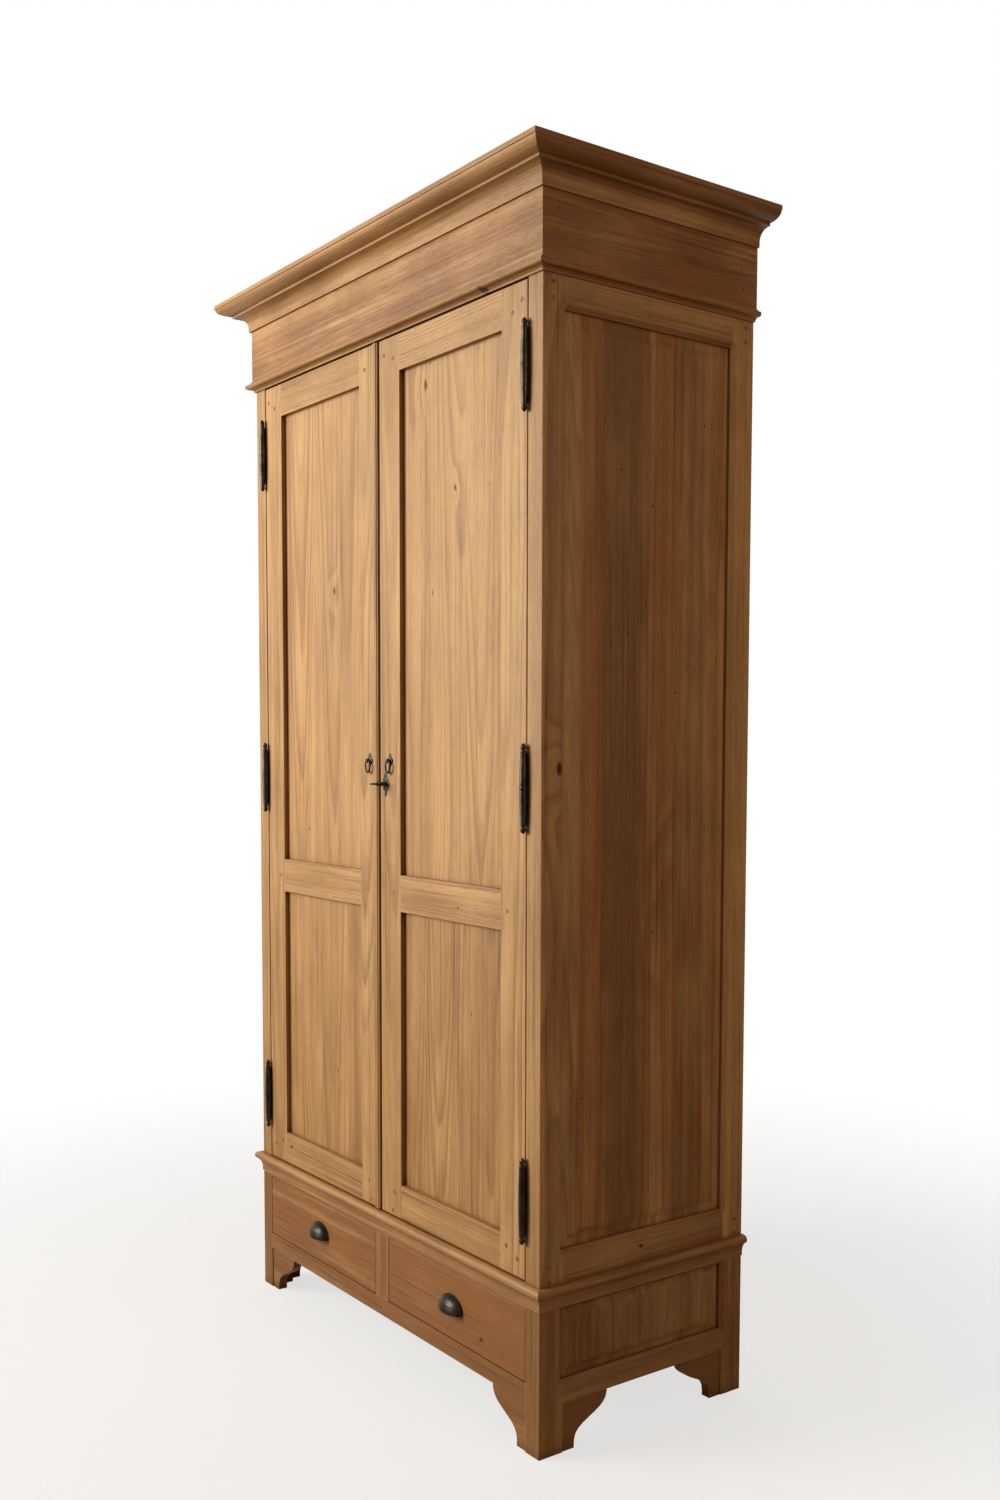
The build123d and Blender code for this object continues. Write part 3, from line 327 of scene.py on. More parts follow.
panel_low, panel_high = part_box("base_side_panels")
between_posts = (panel_low.y + panel_high.y) / 2
wood("upper_posts", "Z", "Y", joints=(between_posts,), tones=(0.40, 0.35))
# The lower posts get much deeper tones than the upper ones: painted shade, darker towards the
# bottom.
wood("base_posts", "Z", "Y", joints=(between_posts,), tones=(0.85, 0.80), reds=(0.25, 0.2))

# --- Base -----------------------------------------------------------------------------------------
# Rails, divider and ogee brackets are cut from thinner boards and housed between the posts. The
# side panels are glued up from short upright boards, and their sunk borders are darkened by old wax
# and painted shade.
# The base boards are given deep tones as painted shade, so the armoire is darker towards the bottom.
wood("front_lower_rail", "X", "Z", tones=(0.98,), reds=(0.35,))
wood("base_top_rail", "X", "Z", tones=(0.92,), reds=(0.35,))
wood("drawer_divider", "Z", "X", tones=(0.75,), reds=(0.4,))
rail_gap = (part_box("base_side_rails")[0].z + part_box("base_side_rails")[1].z) / 2
wood("base_side_rails", "Y", "Z", joints=(rail_gap,), tones=(0.80, 0.90))
wood("foot_brackets", "X", "Z", tones=(0.92,), reds=(0.25,), mitred=True)
panel_depth = panel_high.y - panel_low.y
base_joints = [panel_low.y + share * panel_depth for share in (0.13, 0.50, 0.66, 0.86)]
wood("base_side_panels", "Z", "Y", joints=base_joints, tones=(0.95, 0.85, 0.62, 0.80, 0.55))
wood("base_back_board", "X", "Z", tones=(0.8,))
wood("drawer_runners", "Y", "X", tones=(0.6,))
wood("cabinet_floor", "X", "Y", joints=(-0.09, 0.06, 0.18), tones=(0.5, 0.35, 0.6, 0.45))

# --- Mouldings and frieze -------------------------------------------------------------------------
# Each moulding is run in one length for the front and one for each side, mitred at the front
# corners and nailed on over the frieze boards.
wood("waist_moulding", "X", "Z", tones=(0.45,), reds=(0.25,), mitred=True, wear=0.55)
wood("necking_moulding", "X", "Z", tones=(0.50,), reds=(0.2,), mitred=True, wear=0.55)
wood("frieze_boards", "X", "Z", tones=(0.60,), reds=(0.35,), mitred=True, streaks=2.2,
     clouds=3.0)
wood("cornice", "X", "Z", tones=(0.36,), reds=(0.2,), mitred=True, wear=0.5, streaks=2.0,
     clouds=2.0)

# --- Side frames and panels -----------------------------------------------------------------------
# Rails are tenoned into the posts and pegged. Each tall panel is glued up from boards of mixed
# width and tone, some of them reddish heartwood, and its bevelled border lies in grooves.
rail_gap = (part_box("side_frame_rails")[0].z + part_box("side_frame_rails")[1].z) / 2
wood("side_frame_rails", "Y", "Z", joints=(rail_gap,), tones=(0.75, 0.50))
side_joints = [front + step for step in (0.089, 0.137, 0.241, 0.312, 0.384)]
wood("right_side_panel", "Z", "Y", joints=side_joints,
     tones=(0.42, 0.52, 0.92, 0.52, 0.72, 0.45), reds=(0.0, 0.80, 0.0, 0.75, 0.0, 0.2), streaks=1.3)
other_joints = [front + step for step in (0.110, 0.186, 0.262, 0.356)]
wood("left_side_panel", "Z", "Y", joints=other_joints,
     tones=(0.42, 0.60, 0.35, 0.52, 0.45), reds=(0.3, 0.0, 0.7, 0.1, 0.4))

# --- Carcass boards inside, behind and on top -----------------------------------------------------
# Plain boards, sawn and only lightly oiled, since they face a wall or stand above eye level.
wood("header_rail", "X", "Z", tones=(0.6,))
back_low, back_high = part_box("back_boards")
back_joints = np.linspace(back_low.x, back_high.x, 9)[1:-1].tolist()
back_tones = (0.5, 0.7, 0.4, 0.62, 0.35, 0.55, 0.75, 0.45)
wood("back_boards", "Z", "X", joints=back_joints, tones=back_tones, reds=(0.0, 0.3, 0.1, 0.5))
wood("back_rails", "X", "Z", joints=(0.8, 1.7), tones=(0.6, 0.5, 0.65))
top_low, top_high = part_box("top_boards")
top_joints = np.linspace(top_low.y, top_high.y, 5)[1:-1].tolist()
wood("top_boards", "X", "Y", joints=top_joints, tones=(0.45, 0.6, 0.4, 0.55))
wood("door_stops", "X", "Z", joints=(1.2,), tones=(0.6, 0.5))
wood("shelf_cleats", "Y", "Z", tones=(0.5,))
wood("shelf", "X", "Y", joints=(-0.02, 0.12), tones=(0.4, 0.55, 0.35))
wood("rail_sockets", "Z", "Y", tones=(0.6,))
wood("hanging_rail", "X", "Z", tones=(0.35,))

# --- Doors ----------------------------------------------------------------------------------------
# Each door is a pegged frame of two stiles and three rails round two thin panels. The stiles run
# the full height, and the panels are glued up from four boards chosen for their pale figure.
rail_levels = (0.6, 1.5)
for side, step, meeting_tone, hinge_tone in (("left", -1, 0.25, 0.30), ("right", 1, 0.32, 0.22)):
    wood(f"{side}_meeting_stile", "Z", "X", tones=(meeting_tone,))
    wood(f"{side}_hinge_stile", "Z", "X", tones=(hinge_tone,))
    wood(f"{side}_door_rails", "X", "Z", joints=rail_levels, tones=(0.40, 0.34, 0.26))
    upper = sorted(step * place for place in (0.176, 0.285, 0.385))
    lower = sorted(step * place for place in (0.148, 0.262, 0.352))
    wood(f"{side}_upper_panel", "Z", "X", joints=upper, tones=(0.30, 0.14, 0.20, 0.32),
         reds=(0.1, 0.0, 0.05, 0.15), streaks=0.75, clouds=1.1)
    wood(f"{side}_lower_panel", "Z", "X", joints=lower, tones=(0.40, 0.30, 0.36, 0.44),
         reds=(0.2, 0.1, 0.1, 0.2), streaks=0.8, clouds=1.2)

# --- Drawers --------------------------------------------------------------------------------------
# A single wide board makes each drawer front. Sides, back and bottom are thinner and left plainer.
for side in ("left", "right"):
    # The deep tone of the drawer fronts is painted shade, like the rest of the base.
    wood(f"{side}_drawer_front", "X", "Z", tones=(1.05,), reds=(0.70,), wear=0.5, streaks=2.2,
         clouds=2.2)
    wood(f"{side}_drawer_box", "Y", "Z", tones=(0.35,))

# --- Pegs and nails -------------------------------------------------------------------------------
# Mortise joints are held by split hardwood pegs, cut off almost flush and darker where end grain
# drank the oil. A few old nails in the side panel and frieze were punched in and filled dark.
def sheet_of_quads(points, around=True, along=False):
    """Numbers of the four corners of every face of a grid of points, closed on itself if asked."""
    rows, columns = points.shape[:2]
    number = np.arange(rows * columns).reshape(rows, columns)
    if around:
        number = np.hstack([number, number[:, :1]])
    if along:
        number = np.vstack([number, number[:1]])
    corners = (number[:-1, :-1], number[:-1, 1:], number[1:, 1:], number[1:, :-1])
    return np.stack(corners, axis=-1).reshape(-1, 4)


same_point, no_length = 2e-6, 1e-7
crease = math.radians(38)


def piece(name, grids, material, body, stands_for=(), around=True, along=False):
    """One named piece made of grids of points, each a (rows, columns, 3) array in metres.

    Rows that shrink to a point are merged into a pole, seams and ends are closed, and faces are
    turned outward.
    """
    corners, faces, used = [], [], 0
    for points in grids:
        corners.append(points.reshape(-1, 3))
        faces.append(sheet_of_quads(points, around, along) + used)
        used += points.shape[0] * points.shape[1]
    mesh = bpy.data.meshes.new(name)
    mesh.from_pydata(np.concatenate(corners).tolist(), [], np.concatenate(faces).tolist())
    work = bmesh.new()
    work.from_mesh(mesh)
    bmesh.ops.remove_doubles(work, verts=work.verts, dist=same_point)
    bmesh.ops.dissolve_degenerate(work, edges=work.edges, dist=no_length)
    rims = [edge for edge in work.edges if edge.is_boundary]
    if rims:
        bmesh.ops.holes_fill(work, edges=rims, sides=0)
    bmesh.ops.recalc_face_normals(work, faces=work.faces)
    work.to_mesh(mesh)
    work.free()
    mesh.shade_smooth()
    mesh.set_sharp_from_angle(angle=crease)
    mesh.materials.append(material)
    made = bpy.data.objects.new(name, mesh)
    bpy.context.scene.collection.objects.link(made)
    if stands_for:
        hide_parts(*stands_for)
    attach(made, body)
    return made


millimetres = 1000.0


def circle(count):
    """Angles of a full turn, without the last one that would repeat the first."""
    return np.linspace(0.0, 2.0 * math.pi, count, endpoint=False)


def turned(profile, centre, axis, count=32, flat=0.0):
    """A lathe shape: each (distance, radius) in millimetres becomes a ring round the axis.

    Point = centre + distance * axis + radius * (1 + flat cos 8a) * (cos a, sin a).
    """
    distance, radius = (np.array(profile, dtype=float).T / millimetres)[:, :, None]
    angle = circle(count)[None, :]
    reach = radius * (1.0 + flat * np.cos(8.0 * angle))
    along = np.broadcast_to(distance, reach.shape)
    first, second = reach * np.cos(angle), reach * np.sin(angle)
    order = {"X": (along, first, second), "Y": (first, along, second), "Z": (first, second, along)}
    return np.stack(order[axis], axis=-1) + np.array(centre)


door_faces = {"right": 1, "left": -1}
peg_wood = wood("frame_pegs", "X", "Y", tones=(0.95,), reds=(0.2,), wear=0.0)
peg_end = [(1.0, 0.0), (1.0, 4.3), (-0.15, 4.3), (-0.45, 3.6), (-0.62, 2.0), (-0.65, 0.0)]
peg_places = ((49, 949), (430, 947), (54, 1965), (441, 1960), (429, 353), (462, 338), (49, 354),
              (44, 316), (468, 1976), (20, 1977))
for side, step in door_faces.items():
    pegs = [turned(peg_end, (step * x / millimetres, front, z / millimetres), "Y", 16, flat=0.04)
            for x, z in peg_places]
    piece(f"{side}_door_pegs", pegs, peg_wood, f"{side}_door")

filled, tree, shader = new_material("dark nail filling")
grit = noise(tree, object_place(tree), (900.0, 900.0, 900.0)).outputs["Fac"]
soot = tint(tree, grit, (0.012, 0.008, 0.005, 1.0), (0.050, 0.028, 0.015, 1.0))
tree.links.new(soot, shader.inputs["Base Color"])
shader.inputs["Roughness"].default_value = 0.7
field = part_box("right_side_panel")[1].x
frieze_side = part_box("frieze_boards")[1].x
nail_end = [(-1.0, 0.0), (-1.0, 2.0), (0.0, 2.0), (0.2, 1.4), (0.25, 0.0)]
nail_places = [(field, y, z) for y, z in (
    (-0.030, 1.71), (-0.012, 1.43), (0.043, 1.655), (0.050, 0.90), (0.100, 1.33), (0.165, 1.81),
    (-0.110, 0.62), (0.128, 0.52))]
nail_places += [(frieze_side, y, z) for y, z in ((0.236, 2.095), (0.240, 2.060), (-0.180, 2.112))]
nails = [turned(nail_end, spot, "X", 12, flat=0.08) for spot in nail_places]
piece("filled_nails", nails, filled, "carcass")

# --- Meeting strip --------------------------------------------------------------------------------
# A reeded cover strip is glued and pinned down the free edge of the left door. It is planed with a
# round bead between two flat fillets, and stops the draught at the gap between the doors.
strip_low, strip_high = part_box("meeting_strip")
strip_wood = wood("meeting_strip", "Z", "X", tones=(0.30,), wear=0.8)
bead_angle = np.linspace(math.pi, 0.0, 13)
bead_half, bead_rise = 4.6, 3.6
bead = np.stack([12.0 + bead_half * np.cos(bead_angle),
                 1.4 + bead_rise * np.sin(bead_angle)], axis=1)
first_fillet = [(0.0, 0.0), (0.0, 2.2), (0.5, 2.8), (5.6, 3.0), (6.2, 2.6), (6.5, 1.2)]
second_fillet = [(17.2, 1.2), (17.5, 2.8), (19.4, 3.0), (20.0, 2.4), (20.0, 0.0)]
across, out = np.concatenate([first_fillet, bead, second_fillet]).T[:, None, :] / millimetres
levels = np.linspace(strip_low.z, strip_high.z, 40)[:, None]
# Height out of the door = outline * (1 - 0.02 sin 11z) - 0.12 mm * sin 23z, kept in the CAD box.
hand_planed = 0.00012 * np.sin(levels * 23.0)
strip_y = front - out * (1.0 - 0.02 * np.sin(levels * 11.0)) + hand_planed
strip_y = np.clip(strip_y, strip_low.y, front)
strip = np.stack(np.broadcast_arrays(strip_low.x + across, strip_y, levels), axis=-1)
end_middle = strip.mean(axis=1, keepdims=True)
first_end = np.repeat(end_middle[:1], strip.shape[1], axis=1)
last_end = np.repeat(end_middle[-1:], strip.shape[1], axis=1)
reeded = np.concatenate([first_end, strip, last_end])
piece("reeded_strip", [reeded], strip_wood, "left_door", ["meeting_strip"])

# --- Hinges ---------------------------------------------------------------------------------------
# Olive-knuckle lift-off hinges, turned from iron rod and blackened: a lower half with the pin on
# the post, an upper half on the door. The thin leaves are let into the edges and held by screws.
black_scale, grey_scale = (0.040, 0.040, 0.042, 1.0), (0.090, 0.082, 0.076, 1.0)
rust, bare_iron = (0.110, 0.070, 0.045, 1.0), (0.20, 0.19, 0.175, 1.0)
iron, tree, shader = new_material("blackened iron")
place = object_place(tree)
scale_marks = noise(tree, place, (260.0, 260.0, 260.0), detail=5.0, roughness=0.6).outputs["Fac"]
patches = noise(tree, place, (45.0, 45.0, 30.0), detail=3.0).outputs["Fac"]
skin = tint(tree, ease(tree, patches, 0.35, 0.65), black_scale, grey_scale)
skin = tint(tree, ease(tree, scale_marks, 0.62, 0.70), skin, rust)
rubbed = ease(tree, flatness(tree, 0.0012), 0.99, 0.80)
rubbed = maths(tree, "MULTIPLY", rubbed, between(tree, patches, 0.0, 1.2))
skin = tint(tree, rubbed, skin, bare_iron)
tree.links.new(skin, shader.inputs["Base Color"])
tree.links.new(between(tree, scale_marks, 0.20, 0.58), shader.inputs["Roughness"])
shader.inputs["Metallic"].default_value = 0.85
pits = add(tree, "Bump", {"Height": scale_marks, "Distance": 0.0004, "Strength": 0.6})
tree.links.new(pits.outputs[0], shader.inputs["Normal"])
for node in ("lock_case", "bolt_keeps", "bolt_brackets", "lock_bolt", "upper_bolt", "lower_bolt"):
    dress(node, iron)


def flat_plate(low, high, thin="X", steps=9):
    """A flat leaf with rounded corners, closed at both faces.

    Outline = centre + half size * sign(cos a, sin a) * |cos a, sin a| ** 0.25, a superellipse.
    """
    low, high = np.array(low), np.array(high)
    middle, half = (low + high) / 2, (high - low) / 2
    thin_axis = axis_number[thin]
    wide_axis, tall_axis = [axis for axis in range(3) if axis != thin_axis]
    angle = circle(steps * 8)
    rows = []
    for level, share in ((-1, 0), (-1, 1), (1, 1), (1, 0)):
        ring = np.tile(middle, (len(angle), 1))
        ring[:, thin_axis] += level * half[thin_axis]
        for axis, wave in ((wide_axis, np.cos(angle)), (tall_axis, np.sin(angle))):
            ring[:, axis] += share * half[axis] * np.sign(wave) * np.abs(wave) ** 0.25
        rows.append(ring)
    return np.stack(rows)


hinge_axis = 0.486
hinge_y = front - 0.0075
hinge_levels = (0.448, 1.161, 1.865)
knuckle = [(0.15, 0.0), (0.15, 6.4), (0.5, 6.9), (1.6, 7.0), (2.6, 6.4), (3.4, 6.5),
           (22.0, 6.35), (44.0, 5.8), (62.0, 5.1), (62.8, 5.2), (63.6, 4.9), (64.2, 3.7),
           (65.0, 3.5), (66.0, 3.9), (68.5, 4.9), (71.0, 4.9), (73.5, 3.9), (75.0, 2.7),
           (76.3, 1.9), (77.0, 0.0)]
screw = [(-0.1, 0.0), (-0.1, 2.9), (0.0, 2.9), (0.18, 2.2), (0.25, 0.0)]
leaf_back, leaf_inner, leaf_outer = 0.0295, 0.0015, 0.0001
leaf_start, leaf_end = 0.003, 0.059
screw_back, screw_rises = 0.019, (0.013, 0.031, 0.049)
for side, step in door_faces.items():
    door_half, post_half = [], []
    for level in hinge_levels:
        axis_x = step * hinge_axis
        for up, grids in ((1, door_half), (-1, post_half)):
            rod = [(up * rise, radius) for rise, radius in knuckle]
            grids.append(turned(rod, (axis_x, hinge_y, level), "Z"))
            outer = axis_x + up * step * leaf_outer
            leaf_x = sorted((axis_x - up * step * leaf_inner, outer))
            leaf_z = sorted((level + up * leaf_start, level + up * leaf_end))
            grids.append(flat_plate((leaf_x[0], hinge_y, leaf_z[0]),
                                    (leaf_x[1], hinge_y + leaf_back, leaf_z[1])))
            head = [(up * step * proud, radius) for proud, radius in screw]
            grids += [turned(head, (outer, hinge_y + screw_back, level + up * rise), "X", 16)
                      for rise in screw_rises]
    piece(f"{side}_door_hinges", door_half, iron, f"{side}_door",
          [f"{side}_door_hinge_halves"])
    piece(f"{side}_post_hinges", post_half, iron, "carcass",
          ["post_hinge_halves"] if side == "right" else ())

# --- Ring pulls -----------------------------------------------------------------------------------
# A cast rosette with a finial above and a lobe below carries a bored eye, and a narrow oval ring of
# drawn wire, thicker at the foot, hangs through it.
def crossing(angle, discs):
    """Radius of an outline made of overlapping discs: the farthest crossing of each ray with any.

    For a disc at c with radius r, the ray d meets it at d.c + sqrt(r^2 - c.c + (d.c)^2).
    """
    ray = np.stack([np.cos(angle), np.sin(angle)])
    reach = np.zeros_like(angle)
    for x, z, radius in discs:
        ahead_of = x * ray[0] + z * ray[1]
        inside = radius ** 2 - x ** 2 - z ** 2 + ahead_of ** 2
        far_side = ahead_of + np.sqrt(np.maximum(inside, 0))
        reach = np.maximum(reach, np.where(inside > 0, far_side, 0))
    return reach


def cast_plate(centre, outer, inner, section):
    """A plate on the door's face: section gives (share from hole to outline, height) in order.

    Point = centre + (inner + share * (outer - inner)) * (cos a, sin a), height out of the face.
    """
    angle = circle(len(outer))
    share, height = np.array(section).T[:, :, None]
    reach = (inner + share * (outer - inner)) / millimetres
    x, z = reach * np.cos(angle), reach * np.sin(angle)
    y = np.broadcast_to(-height / millimetres, reach.shape)
    return np.stack([x, y, z], axis=-1) + np.array(centre)


pull_level, pull_out = 1.203, 0.006
rosette_discs = ((0, 0, 8.8), (7.6, 0, 3.8), (-7.6, 0, 3.8), (0, 7.8, 4.6), (0, 12.0, 3.0),
                 (0, -7.6, 4.2), (0, -11.2, 2.4))
rosette_section = [(0.0, 3.2), (0.22, 3.3), (0.34, 2.2), (0.46, 1.9), (0.70, 2.3),
                   (0.86, 1.9), (0.97, 0.9), (1.0, 0.3), (1.0, 0.0), (0.0, 0.0)]
rosette_outline = crossing(circle(160), rosette_discs)
eye_turn = np.append(circle(16), 0.0)
eye_half, eye_radius, eye_wire = 2.4, 3.15, 0.85
# Square-shouldered section of the eye: each of cos a and sin a becomes its signed square root.
shoulders = [np.sign(wave) * np.sqrt(np.abs(wave)) for wave in (np.cos(eye_turn), np.sin(eye_turn))]
eye_section = np.stack([eye_half * shoulders[0], eye_radius + eye_wire * shoulders[1]], axis=1)
sweep, section_turn = circle(64)[:, None], circle(14)[None, :]
ring_half, ring_drop = 0.0078, 0.0115
for side, step in door_faces.items():
    pull_x = step * 0.0385
    plate = cast_plate((pull_x, front, pull_level), rosette_outline, 0.0, rosette_section)
    eye = turned(eye_section, (pull_x, front - pull_out, pull_level), "X")
    piece(f"{side}_rosette", [plate, eye], iron, f"{side}_door",
          [f"{side}_pull_rosette"])
    # Ellipse of half width and half height, carrying a round wire that is thicker at the foot.
    wire = 0.00175 - 0.00035 * np.sin(sweep)
    swell = wire * np.cos(section_turn)
    ring_x = pull_x + (ring_half + swell) * np.cos(sweep)
    ring_z = pull_level - ring_drop + (ring_drop + swell) * np.sin(sweep)
    ring_y = front - pull_out + wire * np.sin(section_turn)
    piece(f"{side}_oval_ring", [np.stack([ring_x, ring_y, ring_z], axis=-1)], iron,
          f"{side}_ring", [f"{side}_pull_ring"], along=True)

# --- Escutcheon and key ---------------------------------------------------------------------------
# A cast keyhole plate, a lobed diamond drawn out to points above and below, with a raised collar
# round the hole. The key is forged: a leaf-shaped bow lying flat, a collar, a round stem and a bit.
key_x, key_level = 0.022, 1.158
escutcheon_discs = (
    (0, 0, 10.5), (9.6, 0, 4.4), (-9.6, 0, 4.4), (6.0, 8.0, 4.0), (-6.0, 8.0, 4.0),
    (6.0, -8.0, 4.0), (-6.0, -8.0, 4.0), (0, 13.5, 5.4), (0, 19.0, 3.6), (0, 22.6, 2.3),
    (0, -13.5, 5.4), (0, -18.0, 3.6), (0, -21.4, 2.2), (0, -23.8, 1.2))
hole_radius, slot_half, slot_depth, least_rim, not_zero = 4.0, 1.75, 10.5, 1.5, 1e-3
plate_angle = circle(240)
# The keyhole's radius along a ray is the farther of the round hole and, below it, a straight slot.
slot_side = slot_half / np.maximum(np.abs(np.cos(plate_angle)), not_zero)
slot_end = slot_depth / np.maximum(-np.sin(plate_angle), not_zero)
slot_reach = np.where(np.sin(plate_angle) < 0, np.minimum(slot_side, slot_end), 0.0)
keyhole = np.maximum(hole_radius, slot_reach)
outline_reach = np.maximum(crossing(plate_angle, escutcheon_discs), keyhole + least_rim)
plate_section = [(0.0, 0.0), (0.0, 2.6), (0.08, 2.9), (0.20, 2.8), (0.30, 1.5), (0.45, 1.2),
                 (0.70, 1.7), (0.88, 1.5), (0.98, 0.8), (1.0, 0.0)]
keyhole_plate = cast_plate((key_x, front, key_level), outline_reach, keyhole, plate_section)
pin = [(0.5, 0.0), (0.5, 1.3), (-1.6, 1.3), (-1.8, 1.0), (-2.2, 0.8), (-2.4, 0.0)]
pins = [turned(pin, (key_x, front, key_level + rise), "Y", 12) for rise in (0.0175, -0.0172)]
piece("keyhole_plate", [np.concatenate([keyhole_plate, keyhole_plate[:1]])], iron, "right_door",
      ["escutcheon"])
piece("escutcheon_pins", pins, iron, "right_door")

bow_out = 0.027
stem_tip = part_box("door_key")[1].y
stem_reach = (stem_tip - front) * millimetres
stem = [(-21.0, 0.0), (-21.0, 2.6), (-20.0, 3.2), (-17.2, 3.1), (-16.4, 4.8), (-15.2, 5.6),
        (-12.9, 5.6), (-12.0, 5.0), (-11.2, 3.8), (-9.0, 3.6), (-7.4, 4.4), (-6.2, 4.6),
        (-5.2, 3.2), (-4.6, 2.9), (stem_reach - 1.0, 2.9), (stem_reach, 2.2), (stem_reach, 0.0)]
# The bow is an ellipse with a pointed foot, leaf_half by bow_half, carrying a round wire.
sweep, section_turn = circle(72)[:, None], circle(14)[None, :]
bow_half = 0.0060
leaf_half = 0.0090 + 0.0004 * np.cos(3.0 * sweep)
bow_wire = 0.0017 + 0.0003 * np.sin(sweep)
bow_radius = 1.0 + 0.10 * np.abs(np.sin(sweep)) ** 3 * np.sign(-np.sin(sweep))
bow_x = (leaf_half * bow_radius + bow_wire * np.cos(section_turn)) * np.cos(sweep)
bow_y = (bow_half * bow_radius + bow_wire * np.cos(section_turn)) * np.sin(sweep)
bow_z = bow_wire * np.sin(section_turn)
bow = np.stack([bow_x + key_x, bow_y + front - bow_out, bow_z + key_level], axis=-1)
bow = np.concatenate([bow, bow[:1]])
bit_end, bit_width, bit_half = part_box("door_key")[1].x, 0.010, 0.00125
bit = flat_plate((key_x, stem_tip - bit_width, key_level - bit_half),
                 (bit_end, stem_tip, key_level + bit_half), thin="Z")
piece("forged_key", [turned(stem, (key_x, front, key_level), "Y", 24), bow, bit], iron, "key",
      ["door_key"])

# --- Cup pulls ------------------------------------------------------------------------------------
# Each drawer has one cast cup: a quarter of an egg open below for the fingers, with a raised line
# across it and a thin flange all round where two pins hold it to the drawer front.
cup_middle, cup_level = 0.25625, 0.180
cup_half, cup_out, cup_rise, cup_wall = 0.034, 0.021, 0.030, 0.002
flange_thick, least_gap = 0.0005, 0.0002
pin = [(0.3, 0.0), (0.3, 1.8), (-0.9, 1.8), (-1.3, 1.3), (-1.5, 0.0)]
pin_aside, pin_rise = 0.0352, 0.0012
# Shell over sweep a across and lift b outward: half * cos a, out * sin^0.8 a * sin b, and
# rise * sin^0.8 a * cos b. The raised line swells the shell round b = 0.95. Row 0 is the flange.
sweep = np.linspace(0.0, math.pi, 49)[None, :]
lift = np.append(0.0, np.linspace(0.0, math.pi / 2, 25))[:, None]
line = 1.0 + 0.035 * np.exp(-((lift - 0.95) / 0.07) ** 2)
flange = np.where(np.arange(len(lift)) == 0, 1.08, 1.0)[:, None]
outer_x = cup_half * flange * np.cos(sweep)
outer_y = -cup_out * np.sin(sweep) ** 0.8 * np.sin(lift) * line / line.max() - flange_thick
outer_z = cup_rise * flange * np.sin(sweep) ** 0.8 * np.cos(lift) * line / line.max()
outer = np.stack([outer_x, outer_y, outer_z], axis=-1)
inner = outer[1:] * (1.0 - cup_wall / np.array([cup_half, cup_out, cup_rise]))
inner[:, :, 1] = np.minimum(inner[:, :, 1], -least_gap)
onto_face = np.array([1.0, 0.0, 1.0])
shell = np.concatenate([outer[:1] * onto_face, outer, inner[::-1], inner[:1] * onto_face])
for side, step in door_faces.items():
    cup = shell + np.array([step * cup_middle, front, cup_level])
    pins = [turned(pin, (step * cup_middle + aside, front, cup_level + pin_rise), "Y", 14)
            for aside in (-pin_aside, pin_aside)]
    piece(f"{side}_bin_cup", [cup], iron, f"{side}_drawer", [f"{side}_cup_pull"],
          around=False, along=True)
    piece(f"{side}_cup_pins", pins, iron, f"{side}_drawer")

# --- Studio ---------------------------------------------------------------------------------------
# A pale floor that fades away before the horizon, a white far wall, a broad soft window to the left
# of the front, a dim warm wall on the right, and the viewer's eye off the right front corner.
floor_reach, fade_start, fade_end, near_clearness = 12.0, 0.6, 2.6, 0.68
floor_mesh = bpy.data.meshes.new("floor")
floor_mesh.from_pydata(
    [(x * floor_reach, y * floor_reach, 0.0) for x, y in ((-1, -1), (1, -1), (1, 1), (-1, 1))],
    [], [(0, 1, 2, 3)],
)
floor = bpy.data.objects.new("floor", floor_mesh)
bpy.context.scene.collection.objects.link(floor)
floor_material, tree, shader = new_material("pale floor")
shader.inputs["Base Color"].default_value = (0.86, 0.85, 0.83, 1.0)
shader.inputs["Roughness"].default_value = 0.8
distance = add(tree, "VectorMath", {0: object_place(tree)}, operation="LENGTH").outputs["Value"]
gone = between(tree, ease(tree, distance, fade_start, fade_end), near_clearness, 1.0)
clear = add(tree, "BsdfTransparent").outputs[0]
faded = add(tree, "MixShader", {0: gone, 1: shader.outputs[0], 2: clear}).outputs[0]
tree.links.new(faded, tree.nodes["Material Output"].inputs[0])
floor_mesh.materials.append(floor_material)

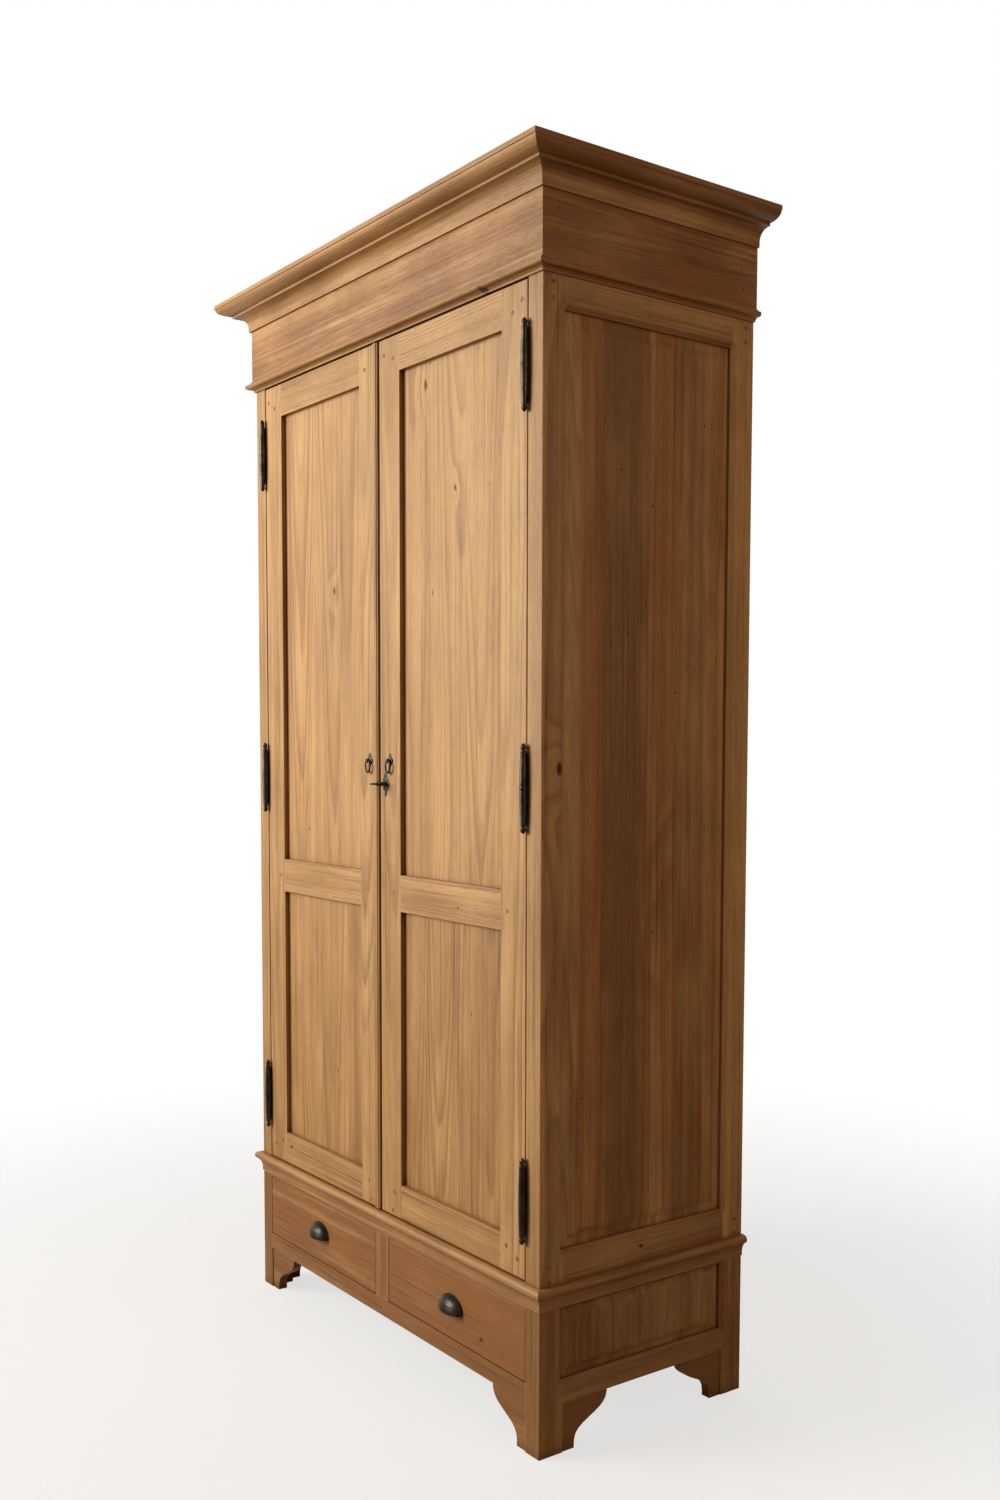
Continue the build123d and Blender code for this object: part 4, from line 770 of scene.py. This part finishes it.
sight, look_down, lean = 52.913, 3.940, 0.234
world = bpy.data.worlds.new("studio")
world.use_nodes = True
bpy.context.scene.world = world
tree = world.node_tree
far_wall = (-math.sin(math.radians(sight)), math.cos(math.radians(sight)), 0.0)
white = (1.0, 1.0, 1.0, 1.0)
low_room, high_room = (0.050, 0.033, 0.020, 1.0), (0.20, 0.135, 0.085, 1.0)
direction = add(tree, "TexCoord").outputs["Generated"]
ahead = add(tree, "VectorMath", {0: direction, 1: far_wall}, operation="DOT_PRODUCT")
height = add(tree, "SeparateXYZ", {0: direction}).outputs[2]
dim_room = tint(tree, ease(tree, height, -0.3, 0.7), low_room, high_room)
wall = tint(tree, ease(tree, ahead.outputs["Value"], 0.45, 0.78), dim_room, white)
seen_directly = add(tree, "LightPath").outputs["Is Camera Ray"]
wall = tint(tree, seen_directly, wall, white)
tree.links.new(wall, tree.nodes["Background"].inputs["Color"])
tree.nodes["Background"].inputs["Strength"].default_value = 1.0


def soft_light(name, place, target, size, energy, colour, spread):
    """A square or oblong lamp at a place, turned towards a target, in metres, watts and degrees."""
    light = bpy.data.lights.new(name, "AREA")
    light.shape, light.size, light.size_y = "RECTANGLE", *size
    light.energy, light.color, light.spread = energy, colour, math.radians(spread)
    lamp = bpy.data.objects.new(name, light)
    lamp.location = place
    lamp.rotation_euler = (Vector(target) - lamp.location).to_track_quat("-Z", "Y").to_euler()
    bpy.context.scene.collection.objects.link(lamp)


soft_light("window", place=(-1.7, -3.3, 2.2), target=(0.1, -0.2, 1.40), size=(2.4, 2.4),
           energy=57.0, colour=(1.0, 0.96, 0.85), spread=95)
soft_light("warm wall", place=(3.1, 0.1, 1.85), target=(0.55, 0.0, 1.85), size=(1.4, 0.9),
           energy=15.0, colour=(1.0, 0.78, 0.56), spread=180)

eye_place = (2.476, -1.669, 1.234)
sensor, focal_length, frame_height = 36.0, 1454.6, 1500.0
camera = bpy.data.cameras.new("eye")
camera.sensor_width = sensor
camera.lens = sensor * focal_length / frame_height
camera.shift_x, camera.shift_y = -0.03107, 0.06384
eye = bpy.data.objects.new("eye", camera)
turn = Matrix.Rotation(math.radians(sight), 4, "Z")
tilt = Matrix.Rotation(math.radians(90.0 - look_down), 4, "X")
roll = Matrix.Rotation(math.radians(lean), 4, "Z")
eye.matrix_world = Matrix.Translation(eye_place) @ turn @ tilt @ roll
bpy.context.scene.collection.objects.link(eye)
bpy.context.scene.camera = eye
bpy.context.scene.view_settings.view_transform = "Standard"
